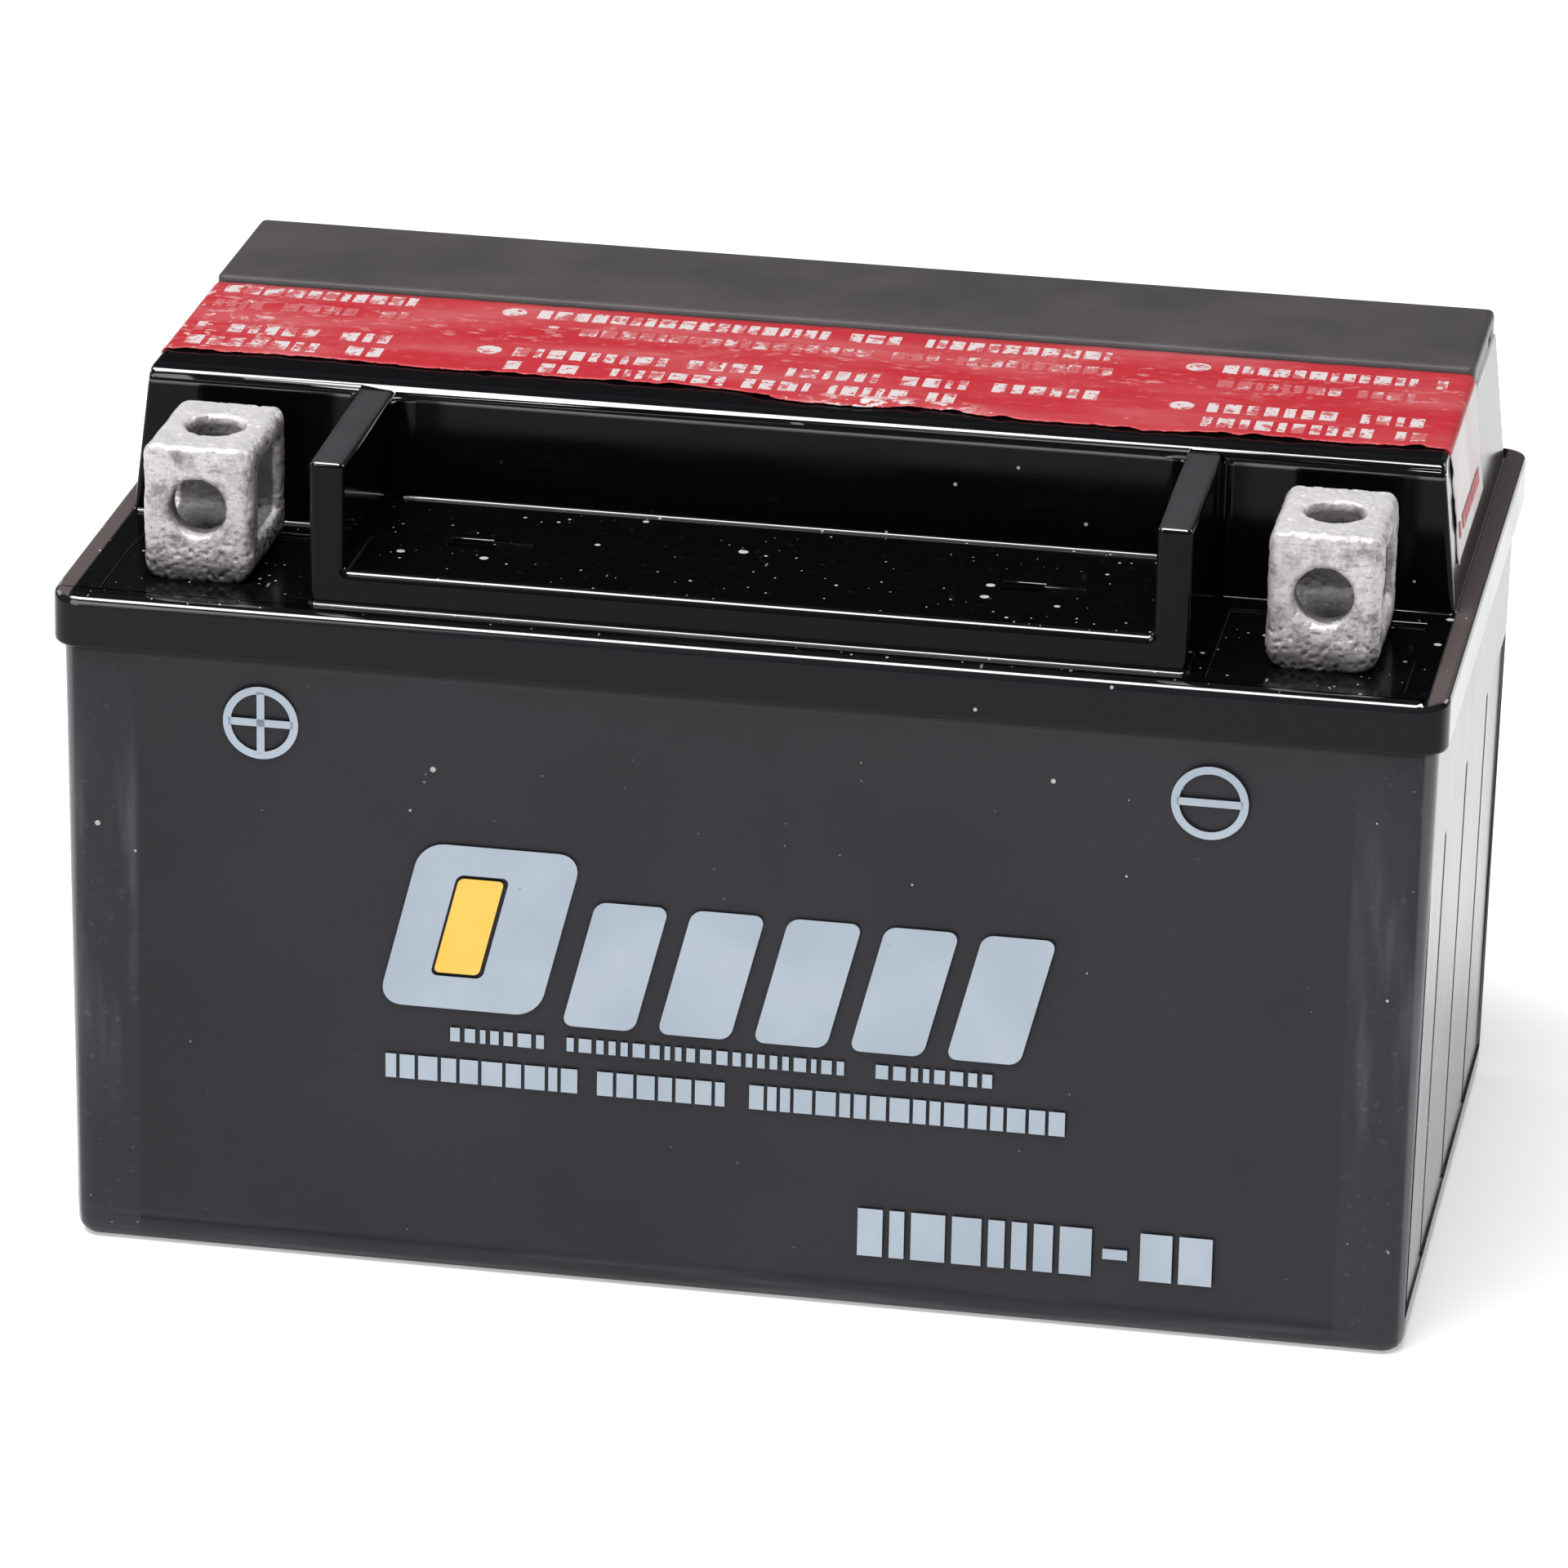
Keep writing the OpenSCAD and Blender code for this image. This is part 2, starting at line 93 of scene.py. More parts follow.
class Wire:
    """One value, colour or vector on its way through a material. Sums on wires add Math nodes."""

    def __init__(self, tree, socket):
        self.tree = tree
        self.socket = socket

    def make(self, kind, settings=None, values=None, output=None):
        """Adds any other shader node, fed by values and wires. The new wire starts at its output."""
        fed = {key: v.socket if isinstance(v, Wire) else v for key, v in (values or {}).items()}
        return Wire(self.tree, result(add_node(self.tree, "ShaderNode" + kind, settings, fed), output))

    def beside(self, output):
        """Another output of the node that this wire comes from."""
        return Wire(self.tree, self.socket.node.outputs[output])

    def sum(self, operation, *others):
        return self.make("Math", {"operation": operation}, {i: v for i, v in enumerate((self, *others))})

    def __add__(self, other):
        return self.sum("ADD", other)

    __radd__ = __add__

    def __mul__(self, other):
        return self.sum("MULTIPLY", other)

    def __sub__(self, other):
        return self.sum("SUBTRACT", other)

    def __rsub__(self, other):
        return self.make("Math", {"operation": "SUBTRACT"}, {0: other, 1: self})

    def __abs__(self):
        return self.sum("ABSOLUTE")

    def either(self, other):
        return self.sum("MAXIMUM", other)

    def ramp(self, start, end):
        """0 at start, 1 at end, smooth between them and held outside them. start may be the larger."""
        return self.make("MapRange", {"interpolation_type": "SMOOTHSTEP"},
                         {"Value": self, "From Min": start, "From Max": end})

    def blend(self, first, second):
        """The first colour where this mask is 0 and the second where it is 1."""
        return self.make("Mix", {"data_type": "RGBA"}, {"Factor": self, "A": first, "B": second})

    def noise(self, scale, detail=2.0, roughness=0.5):
        """Clouds on these coordinates. scale is the number of lumps in a metre."""
        return self.make("TexNoise", None, {"Vector": self, "Scale": scale, "Detail": detail,
                                            "Roughness": roughness}, "Fac")

    def axis(self, name):
        return self.make("SeparateXYZ", None, {"Vector": self}, name)

    def stretched(self, scale, turn=(0, 0, 0)):
        return self.make("Mapping", None, {"Vector": self, "Rotation": turn, "Scale": scale})

    def specks(self, spacing, size, share):
        """Round grains of dirt: one in each cell of the given spacing, kept in that share of the cells."""
        cell = self.make("TexVoronoi", None, {"Vector": self, "Scale": 1 / spacing}, "Distance")
        luck = cell.beside("Color").axis("X")
        radius = cell.beside("Color").axis("Y") * (size / spacing)
        return (radius - cell).ramp(0, 0.15 * size / spacing) * luck.ramp(share + 0.01, share)

    def scratches(self, spacing, length, turn, share):
        """Hairlines: long thin cells of the given spacing and length, kept in that share of the cells."""
        shape = self.stretched((1 / spacing, 1 / length, 1 / spacing), turn)
        cell = shape.make("TexVoronoi", None, {"Vector": shape, "Scale": 1.0}, "Distance")
        luck = cell.beside("Color").axis("X")
        return cell.ramp(0.07, 0.02) * luck.ramp(share + 0.01, share)


def new_finish(name, **constants):
    """A material with its main shader's constants set. Returns it, its object coordinates and its shader."""
    material = bpy.data.materials.new(name)
    material.use_nodes = True
    tree = material.node_tree
    shader = tree.nodes["Principled BSDF"]
    for key, value in constants.items():
        shader.inputs[key.replace("_", " ").title().replace("Ior", "IOR")].default_value = value
    place = Wire(tree, tree.nodes.new("ShaderNodeTexCoord").outputs["Object"])
    return material, place, shader


def feed(shader, **wires):
    """Links wires to the shader's sockets, named in lower case with underscores."""
    for key, wire in wires.items():
        socket = shader.inputs[key.replace("_", " ").title()]
        wire.tree.links.new(wire.socket, socket)


def bumped(height, distance, strength=1.0, under=None):
    """A Bump node for this height, in metres, on top of another bump if there is one."""
    values = {"Height": height, "Distance": distance, "Strength": strength}
    if under:
        values["Normal"] = under
    return height.make("Bump", None, values, "Normal")


def rounded_ring(half_x, half_y, radius, xs, ys, steps=6):
    """Points round a rectangle with round corners, anticlockwise from its right side. xs and ys are extra
    places along the straight sides, in rising order."""
    points = [(half_x, y) for y in ys]
    for corner, (sx, sy) in enumerate(((1, 1), (-1, 1), (-1, -1), (1, -1))):
        for i in range(steps + 1):
            angle = math.radians(90 * corner + 90 * i / steps)
            points.append((sx * (half_x - radius) + radius * math.cos(angle),
                           sy * (half_y - radius) + radius * math.sin(angle)))
        if corner == 0:
            points += [(x, half_y) for x in reversed(xs)]
        elif corner == 1:
            points += [(-half_x, y) for y in reversed(ys)]
        elif corner == 2:
            points += [(x, -half_y) for x in xs]
    return points


def new_piece(name, mesh_maker, sharp=35):
    """A named object from a bmesh, shaded smooth except where it turns by more than sharp degrees."""
    mesh = bpy.data.meshes.new(name)
    mesh_maker.normal_update()
    mesh_maker.to_mesh(mesh)
    mesh_maker.free()
    mesh.shade_smooth()
    mesh.set_sharp_from_angle(angle=math.radians(sharp))
    piece = bpy.data.objects.new(name, mesh)
    bpy.context.scene.collection.objects.link(piece)
    return piece


def applied(piece):
    """Turns the piece's modifiers into plain mesh."""
    graph = bpy.context.evaluated_depsgraph_get()
    graph.update()
    mesh = bpy.data.meshes.new_from_object(piece.evaluated_get(graph))
    piece.modifiers.clear()
    piece.data = mesh


def finish_piece(piece, material, body, slot, *nodes):
    """Gives a piece its material and body, and hides the CAD nodes that it stands for. slot is not used."""
    piece.data.materials.clear()
    piece.data.materials.append(material)
    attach(piece, body)
    if nodes:
        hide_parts(*nodes)


case_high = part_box("container")[1]
case_half_x = case_high.x
case_half_y = 42.3 * MM
case_top = case_high.z
end_lean = 0.7 * MM
side_lean = 1.1 * MM
case_corner = 2.6 * MM
foot_radius = 2.0 * MM
panel_half_x = 66.2 * MM
panel_bottom = 3 * MM
panel_top = 69.2 * MM
panel_relief = 0.15 * MM
field_half_y = 39 * MM
field_bottom = 4 * MM
field_top = 55 * MM
field_depth = 0.3 * MM
groove_half = 0.7 * MM
groove_floor_x = case_half_x - end_lean - 0.7 * MM
groove_ys = [-22 * MM, 0, 22 * MM]
soft = 0.12 * MM
cell_numbers = range(1, 7)
weld_numbers = range(1, 6)


def smooth_step(value, start, end):
    """0 at start, 1 at end, smooth between them and held outside them. start may be the larger."""
    t = min(max((value - start) / (end - start), 0), 1)
    return t * t * (3 - 2 * t)


def inside_band(value, low_edge, high_edge):
    """1 between the two edges, 0 outside them, with a soft step at each."""
    rise = smooth_step(value, low_edge - soft, low_edge + soft)
    return rise * smooth_step(value, high_edge + soft, high_edge - soft)


def straddle(places):
    """Both sides of each place, so that a small step there gets a row of faces of its own."""
    return [place + side for place in places for side in (-soft, 0, soft)]


def case_depth(x, y, z, end_plane):
    """How far the moulding draws in at a point of the wall."""
    if abs(y) < field_half_y + soft and abs(x) > panel_half_x + 4 * soft:
        field = inside_band(z, field_bottom, field_top)
        sunk = field_depth * field * inside_band(y, -field_half_y, field_half_y)
        groove = max(inside_band(y, g - groove_half, g + groove_half) for g in groove_ys) * field
        return max(sunk, (end_plane - groove_floor_x) * groove)
    if abs(x) < panel_half_x + soft:
        across_panel = inside_band(x, -panel_half_x, panel_half_x)
        return -panel_relief * across_panel * inside_band(z, panel_bottom, panel_top)
    return 0


edge_ys = [-field_half_y, field_half_y] + [g + side * groove_half for g in groove_ys for side in (-1, 1)]
ring_ys = sorted(straddle(edge_ys))
ring_xs = sorted(straddle([-panel_half_x, panel_half_x]))
foot_levels = [foot_radius * (1 - math.cos(math.radians(a))) for a in range(0, 90, 15)]
levels = sorted(foot_levels + straddle([panel_bottom, field_bottom, field_top, panel_top]) + [case_top])
shell = bmesh.new()
rings = []
for z in levels:
    inset = 0
    if z < foot_radius:
        inset = foot_radius - math.sqrt(foot_radius ** 2 - (foot_radius - z) ** 2)
    half_x = case_half_x - end_lean * (1 - z / case_top) - inset
    half_y = case_half_y - side_lean * (1 - z / case_top) - inset
    ring = []
    for x, y in rounded_ring(half_x, half_y, case_corner - inset, ring_xs, ring_ys):
        depth = case_depth(x, y, z, half_x)
        if abs(abs(x) - half_x) < 1e-7:
            x -= math.copysign(depth, x)
        elif abs(abs(y) - half_y) < 1e-7:
            y -= math.copysign(depth, y)
        ring.append(shell.verts.new((x, y, z)))
    rings.append(ring)
for lower, upper in zip(rings, rings[1:]):
    for i in range(len(lower)):
        j = (i + 1) % len(lower)
        shell.faces.new((lower[i], lower[j], upper[j], upper[i]))
shell.faces.new(list(reversed(rings[0])))
shell.faces.new(rings[-1])
container = new_piece("container_moulding", shell)

cells = bmesh.new()
cell_margin_y = 0.6 * MM
floor_thickness = 2.5 * MM
mats = [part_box(f"cell_{k}_glass_mats") for k in cell_numbers]
cell_pitch = mats[1][0].x - mats[0][0].x
partition = 1.5 * MM
half = (cell_pitch - partition) / 2
for mat_low, mat_high in mats:
    middle = (mat_low.x + mat_high.x) / 2
    corners = bmesh.ops.create_cube(cells, size=1)["verts"]
    for corner in corners:
        corner.co = Vector((middle + half * 2 * corner.co.x,
                            (mat_high.y + cell_margin_y) * 2 * corner.co.y,
                            case_top + MM if corner.co.z > 0 else floor_thickness))
for k in weld_numbers:
    weld_low, weld_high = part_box(f"cell_weld_{k}")
    hole_r = (weld_high.z - weld_low.z) / 2
    drilled = bmesh.ops.create_cone(cells, cap_ends=True, segments=32, radius1=hole_r, radius2=hole_r,
                                    depth=partition + MM)["verts"]
    centre = (weld_low + weld_high) / 2
    for corner in drilled:
        corner.co = Vector((corner.co.z, corner.co.y, corner.co.x)) + centre
bmesh.ops.recalc_face_normals(cells, faces=cells.faces)
cutter = new_piece("cell_cutter", cells)
cut = container.modifiers.new("cells", "BOOLEAN")
cut.operation = "DIFFERENCE"
cut.solver = "EXACT"
cut.use_self = True
cut.object = cutter
applied(container)
bpy.data.objects.remove(cutter)

CASE_DARK = (0.0150, 0.0147, 0.0182, 1)
CASE_LIGHT = (0.0195, 0.0190, 0.0235, 1)
SCUFF_AND_SHEEN = (0.078, 0.077, 0.090, 1)
DUST = (0.50, 0.49, 0.47, 1)
SKIRT_SHADOW_BLACK = (0.001, 0.001, 0.001, 1)
GROOVE_SHADE_BLACK = (0.002, 0.002, 0.002, 1)
case_finish, at, shader = new_finish("case_plastic", ior=1.30, coat_ior=1.9, coat_roughness=0.14)
grain = at.noise(5200, 2)
patches = at.noise(38, 4)
across = abs(at.axis("X"))
height = at.axis("Z")
border = across.ramp(panel_half_x - 0.4 * MM, panel_half_x + 0.4 * MM)
rub = at.stretched((260, 60, 34)).noise(1.0, 4).ramp(0.46, 0.72)
rub_place = height.ramp(12 * MM, 34 * MM) * height.ramp(66 * MM, 48 * MM)
foot_wear = height.ramp(5 * MM, 1.5 * MM) * at.stretched((30, 30, 700)).noise(1.0, 3).ramp(0.5, 0.7)
# The borders beside the print panel are painted lighter all over as a painted sheen; the rub streaks, the
# wear near the foot and the pale patches on top of it are scuffs, and the grain is random tone.
scuffs_and_sheen = (border * (0.07 + rub * rub_place * 0.6) + foot_wear * 0.3 + (grain - 0.5) * 0.10
         + at.noise(900, 3).ramp(0.60, 0.78) * (0.05 + border * 0.3))
dust = at.specks(4.2 * MM, 0.34 * MM, 0.30).either(at.specks(1.9 * MM, 0.17 * MM, 0.14))
lines = at.scratches(3.0 * MM, 24 * MM, (0.4, 0.3, 0.2), 0.10).either(
    at.scratches(2.2 * MM, 12 * MM, (1.3, 0.2, 1.1), 0.12))
# Painted shade: the floors of the upright grooves in each end wall are painted near black, for the shade
# that falls in them.
groove_shade = across.ramp(groove_floor_x + 0.35 * MM, groove_floor_x + 0.15 * MM) \
    * across.ramp(groove_floor_x - 0.7 * MM, groove_floor_x - 0.3 * MM) \
    * abs(at.axis("Y")).ramp(24 * MM, 23.4 * MM) * height.ramp(field_bottom, field_bottom + MM) \
    * height.ramp(field_top, field_top - MM)
# Painted shadow: a near-black band along the top of the container, just under the lid's skirt, for the shade
# that the skirt casts there.
skirt_shadow = height.ramp(69.3 * MM, 69.9 * MM) * 0.9
chipped = at.noise(650, 3).ramp(0.70, 0.74) * border * height.ramp(30 * MM, 12 * MM)
colour = patches.ramp(0.3, 0.7).blend(CASE_DARK, CASE_LIGHT)
colour = scuffs_and_sheen.blend(colour, SCUFF_AND_SHEEN)
colour = (lines * 0.30).blend(colour, DUST)
colour = (dust * 0.85).blend(colour, DUST)
colour = (chipped * 0.6).blend(colour, DUST)
colour = skirt_shadow.blend(colour, SKIRT_SHADOW_BLACK)
colour = groove_shade.blend(colour, GROOVE_SHADE_BLACK)
end_wall = across.ramp(groove_floor_x - 0.1 * MM, groove_floor_x + 0.3 * MM)
streaks = at.stretched((200, 220, 30)).noise(1.0, 4)
roughness = 0.40 + (patches - 0.5) * 0.10 + (grain - 0.5) * 0.08 - end_wall * 0.15 + dust * 0.3
relief = bumped(grain * 0.6 + at.noise(1700, 2) * 0.4, 0.02 * MM, 0.5)
feed(shader, base_color=colour, roughness=roughness, coat_weight=end_wall * (0.50 - streaks * 0.28),
     normal=bumped(lines + dust * -1, 0.02 * MM, 0.4, relief))
finish_piece(container, case_finish, "case", "case", "container")


# ---------------------------------------------------------------------------------------------------
# Lid. One glossy polypropylene moulding, welded to the container all round: skirt, terminal deck, raised
# block with the filler wells, and the tray between the terminals. The CAD's lid is copied and its sharp
# edges are rounded as the mould has them, each with its own radius.

def softened_copy(node, name, edge_radius, segments=3, sharp=40):
    """A copy of a CAD node with rounded edges. edge_radius gives one edge's radius from its middle, its
    direction and whether it is an outward corner; 0 leaves it sharp. Faces made by rounding are marked
    in the attribute rounded_edge."""
    maker = bmesh.new()
    maker.from_mesh(frame["nodes"][node].data)
    bmesh.ops.remove_doubles(maker, verts=maker.verts, dist=1e-6)
    bmesh.ops.dissolve_limit(maker, angle_limit=math.radians(0.7), verts=maker.verts, edges=maker.edges)
    maker.normal_update()
    weight = maker.edges.layers.float.new("bevel_weight_edge")
    widest = 2.6 * MM
    for edge in maker.edges:
        if len(edge.link_faces) == 2 and edge.calc_face_angle() > math.radians(28):
            middle = (edge.verts[0].co + edge.verts[1].co) / 2
            along = (edge.verts[1].co - edge.verts[0].co).normalized()
            edge[weight] = edge_radius(middle, along, edge.is_convex) / widest
    piece = new_piece(name, maker, sharp)
    # The modifier puts the faces that it makes in the second slot, so that they can be told apart.
    piece.data.materials.append(None)
    piece.data.materials.append(None)
    bevel = piece.modifiers.new("round_edges", "BEVEL")
    bevel.material = 1
    bevel.limit_method = "WEIGHT"
    bevel.width = widest
    bevel.segments = segments
    bevel.use_clamp_overlap = False
    bevel.miter_outer = "MITER_ARC"
    weighted = piece.modifiers.new("flat_stays_flat", "WEIGHTED_NORMAL")
    weighted.keep_sharp = True
    applied(piece)
    rounded = piece.data.attributes.new("rounded_edge", "FLOAT", "FACE")
    rounded.data.foreach_set("value", [float(face.material_index == 1) for face in piece.data.polygons])
    for face in piece.data.polygons:
        face.material_index = 0
    return piece


lid_low, lid_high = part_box("lid")
strip_low, strip_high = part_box("plug_strip")
deck_z = 76.2 * MM
tray_z = 80.2 * MM
wall_top_z = 92.4 * MM
tray_front_y = -40.3 * MM
block_front_y = -15 * MM
block_back_y = strip_high.y
tray_half_x = 43.7 * MM
tray_wall_x = 47.5 * MM
bay_inner_x = 48.5 * MM
bay_outer_x = 71 * MM
pocket_inner_x = 25 * MM
pocket_outer_x = 36 * MM
pocket_front_y = -30.2 * MM
pocket_back_y = -25.8 * MM
near = 0.06 * MM


def lid_edge(middle, along, outward):
    """From the widest parts in: the skirt's rim, the shallow bay round each terminal, the tray floor's
    pockets, the deck's inward corners, the tray, and the raised block."""
    x, y, z = abs(middle.x), middle.y, middle.z
    level = abs(along.z) < 0.3
    rim = x > lid_high.x - 0.1 * MM or abs(y) > lid_high.y - 0.1 * MM \
        or (x > lid_high.x - 3.6 * MM and abs(y) > lid_high.y - 3.5 * MM)
    if rim and level and abs(z - deck_z) < near:
        return (0.6 + 0.7 * along.x ** 2) * MM
    if rim and level and abs(z - lid_low.z) < 2 * MM and outward:
        return 0.45 * MM
    if z < deck_z - MM:
        return 0
    if bay_inner_x < x < bay_outer_x and y < block_front_y - 2 * MM and z < deck_z + near:
        return 0.12 * MM if level else 0
    in_pocket = pocket_inner_x < x < pocket_outer_x and pocket_front_y < y < pocket_back_y
    if in_pocket and tray_z - MM < z < tray_z + near:
        return 0.2 * MM if level and outward and abs(z - tray_z) < near else 0
    if abs(z - deck_z) < 0.5 * MM and level:
        if not outward and (abs(y - block_front_y) < near or abs(y - block_back_y) < near or x > 72.9 * MM):
            return 0.5 * MM
        if not outward and (abs(x - tray_wall_x) < near or abs(y - tray_front_y) < near):
            return 0.5 * MM
        return 0
    if abs(z - tray_z) < near and level:
        return 0.9 * MM if outward else 0.45 * MM
    if abs(z - wall_top_z) < near:
        return 0.7 * MM if outward else 0.3 * MM
    if not level and y < block_front_y + near and x < 49 * MM:
        if outward:
            return 0.7 * MM
        return 2.4 * MM if abs(x - tray_half_x) < near else 1.2 * MM
    if x > bay_outer_x:
        return 0.6 * MM
    if abs(z - lid_high.z) < near:
        return 0.25 * MM
    return 0


lid = softened_copy("lid", "lid_moulding", lid_edge)

LID_BLACK = (0.0022, 0.0022, 0.0027, 1)
LEDGE_REFLECTION = (0.102, 0.083, 0.081, 1)
SKIRT_LIT_BLACK = (0.0095, 0.0092, 0.0112, 1)
WALL_TOP_REFLECTION = (0.064, 0.062, 0.067, 1)
lid_finish, at, shader = new_finish("lid_plastic", ior=1.20, coat_ior=1.9, coat_roughness=0.10)
across = abs(at.axis("X"))
depth = at.axis("Y")
height = at.axis("Z")
facing = at.make("NewGeometry", None, None, "Normal")
facing_up = facing.axis("Z").ramp(0.6, 0.9)
rounded = at.make("Attribute", {"attribute_name": "rounded_edge"}, None, "Fac")
rounded = rounded * facing.axis("Z").ramp(0.15, 0.45)
haze = at.noise(55, 4)
fine = at.noise(2600, 2)
# Painted reflection: the upward faces of the rim at both ends are tinted a warm grey-brown, for the pale
# room that they mirror; they are also made rougher.
ledge_reflection = across.ramp(73.1 * MM, 73.5 * MM) * height.ramp(75.2 * MM, 75.6 * MM) * height.ramp(78 * MM, 77 * MM)
# Painted reflection: the tops of the tray walls are painted grey, for the light that they catch at a
# glancing angle; they are also made rougher.
wall_top_reflection = height.ramp(92.1 * MM, 92.3 * MM) * depth.ramp(-15 * MM, -16 * MM) * facing_up
low_part = height.ramp(84 * MM, 82 * MM) * depth.ramp(-13 * MM, -15 * MM)
specks = at.specks(1.9 * MM, 0.24 * MM, 0.75).either(at.specks(4.0 * MM, 0.60 * MM, 0.55))
specks = specks.either(at.specks(1.3 * MM, 0.17 * MM, 0.6))
dust = specks * facing_up * low_part
crumbs = at.specks(3.6 * MM, 0.30 * MM, 0.16).either(at.specks(9 * MM, 0.5 * MM, 0.2)) * 0.8
lines = at.scratches(2.2 * MM, 9 * MM, (0.3, 0.2, 0.7), 0.18).either(
    at.scratches(2.8 * MM, 13 * MM, (0.2, 0.5, 2.1), 0.14)) * facing_up * low_part
powder = facing_up * low_part * at.noise(900, 4).ramp(0.60, 0.85) * 0.02
dirt = dust.either(crumbs).either(lines * 0.45) + powder
# Painted light: the skirt, the lid's upright sides, gets a lighter black than its top, for the light that
# falls on it; the moulding itself is one colour.
lit_skirt = height.ramp(75.9 * MM, 75.4 * MM)
colour = lit_skirt.blend(LID_BLACK, SKIRT_LIT_BLACK)
colour = (ledge_reflection * facing_up).blend(colour, LEDGE_REFLECTION)
colour = (wall_top_reflection * (0.5 + haze * 0.5)).blend(colour, WALL_TOP_REFLECTION)
colour = dirt.blend(colour, DUST)
roughness = 0.10 + haze.ramp(0.35, 0.75) * 0.08 + ledge_reflection * facing_up * 0.35 + wall_top_reflection * 0.25 \
    + dirt * 0.5 + (fine - 0.5) * 0.04
end_face = across.ramp(71.0 * MM, 71.2 * MM) * abs(facing.axis("X")).ramp(0.75, 0.98) * 0.30
block_edge = height.ramp(91.1 * MM, 91.5 * MM) * depth.ramp(-13.0 * MM, -13.5 * MM) \
    * depth.ramp(-15.5 * MM, -15.1 * MM)
feed(shader, base_color=colour, roughness=roughness, coat_weight=rounded.either(end_face).either(block_edge),
     normal=bumped(fine, 0.004 * MM, 0.5, bumped(dirt, 0.05 * MM, 0.3)))
finish_piece(lid, lid_finish, "case", "lid", "lid")


# ---------------------------------------------------------------------------------------------------
# Plug strip. A matt moulding that closes all six wells: a plate with six hollow plugs under it. It is
# pressed down by hand after filling. The plate's top edges are rounded.

def strip_edge(middle, along, outward):
    """The plate's outline only: upright corners most, then the top edge, then the lower one."""
    x, y, z = abs(middle.x), middle.y, middle.z
    outline = x > strip_high.x - near or y < strip_low.y + near or y > strip_high.y - near
    if not outline or not outward:
        return 0
    if abs(along.z) > 0.9:
        return 1.0 * MM
    return 0.7 * MM if z > strip_high.z - near else 0.2 * MM


strip = softened_copy("plug_strip", "plug_strip_moulding", strip_edge)

STRIP_GREY = (0.058, 0.053, 0.054, 1)
STRIP_PALE = (0.080, 0.073, 0.075, 1)
strip_finish, at, shader = new_finish("strip_plastic", ior=1.35, coat_ior=1.9, coat_roughness=0.2)
leather = at.noise(2300, 3)
patches = at.noise(60, 3)
dust = at.specks(7 * MM, 0.35 * MM, 0.08)
lines = at.scratches(2.4 * MM, 14 * MM, (0.2, 0.1, 1.2), 0.06)
front_edge = at.axis("Z").ramp(93.3 * MM, 93.9 * MM) * at.axis("Y").ramp(17.2 * MM, 16.5 * MM)
worn_edge = front_edge * leather.ramp(0.4, 0.6)
colour = patches.ramp(0.3, 0.7).blend(STRIP_GREY, STRIP_PALE)
colour = ((leather - 0.5) * 0.25 + lines * 0.2 + worn_edge * 0.12).blend(colour, SCUFF_AND_SHEEN)
colour = dust.blend(colour, DUST)
end_face = abs(at.axis("X")).ramp(strip_high.x - 0.3 * MM, strip_high.x - 0.1 * MM)
feed(shader, base_color=colour, roughness=0.52 + (leather - 0.5) * 0.2 - worn_edge * 0.15,
     coat_weight=end_face * (0.5 - patches * 0.2), normal=bumped(leather, 0.03 * MM, 0.6))
finish_piece(strip, strip_finish, "plug_strip", "strip", "plug_strip")


# ---------------------------------------------------------------------------------------------------
# Terminals. Cast lead-alloy blocks, each with a nut slot from side to side and two bolt holes. The CAD's
# block is rounded, remeshed finely and pushed about by a few sizes of noise, as rough gravity casting is.

def terminal_edge(middle, along, outward):
    """The same for every edge of a casting."""
    return 0.35 * MM


def cast_surface(piece, seed):
    """Moves each point along its normal by casting lumps, pits that deepen towards the foot, and a burr on
    the top front edge."""
    mesh = piece.data
    _, ys, zs = zip(*piece.bound_box)
    foot, top, front = min(zs), max(zs), min(ys)
    shift = Vector((seed, seed * 0.37, -seed))
    normals = [v.normal.copy() for v in mesh.vertices]
    for vertex, normal in zip(mesh.vertices, normals):
        place = vertex.co / MM
        rough = smooth_step(vertex.co.z, foot + 8 * MM, foot + 2 * MM)
        lumps = noise.noise(place * 0.35 + shift) * 0.12
        ripples = noise.noise(place * 1.1 + shift) * (0.05 + 0.07 * rough)
        pits = max(noise.noise(place * 2.0 + shift) - 0.18, 0) * -(0.35 + 0.6 * rough)
        edge = Vector((0, vertex.co.y - front, vertex.co.z - top)).length / MM
        burr = smooth_step(edge, 1.4, 0.4) * (0.10 + 0.22 * noise.noise(place * 0.9 - shift))
        vertex.co += normal * (lumps + ripples + pits + burr + 0.20) * MM


terminal_low, terminal_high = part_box("negative_terminal")
terminal_x = (terminal_low.x + terminal_high.x) / 2
terminal_half = (terminal_high.x - terminal_low.x) / 2
LEAD_DARK = (0.20, 0.185, 0.185, 1)
LEAD_MID = (0.62, 0.585, 0.590, 1)
LEAD_BRIGHT = (0.92, 0.89, 0.90, 1)
SHADED = (0.060, 0.054, 0.052, 1)
OXIDE = (0.33, 0.27, 0.255, 1)
lead_finish, at, shader = new_finish("cast_lead", ior=1.8)
depth = at.axis("Y")
height = at.axis("Z")
coarse = at.noise(420, 5, 0.6)
pitting = at.noise(2300, 4, 0.7)
flow = at.stretched((700, 700, 3000)).noise(1.0, 3, 0.6)
oxide = at.noise(150, 3)
foot = height.ramp(84 * MM, 78 * MM)
colour = coarse.ramp(0.28, 0.58).blend(LEAD_DARK, LEAD_MID)
colour = (pitting.ramp(0.52, 0.74) * 0.7).blend(colour, LEAD_BRIGHT)
colour = (flow.ramp(0.44, 0.30) * 0.6).blend(colour, LEAD_DARK)
colour = (pitting.ramp(0.46, 0.32) * (0.45 + foot * 0.5)).blend(colour, SHADED)
colour = (oxide.ramp(0.5, 0.7) * 0.35).blend(colour, OXIDE)
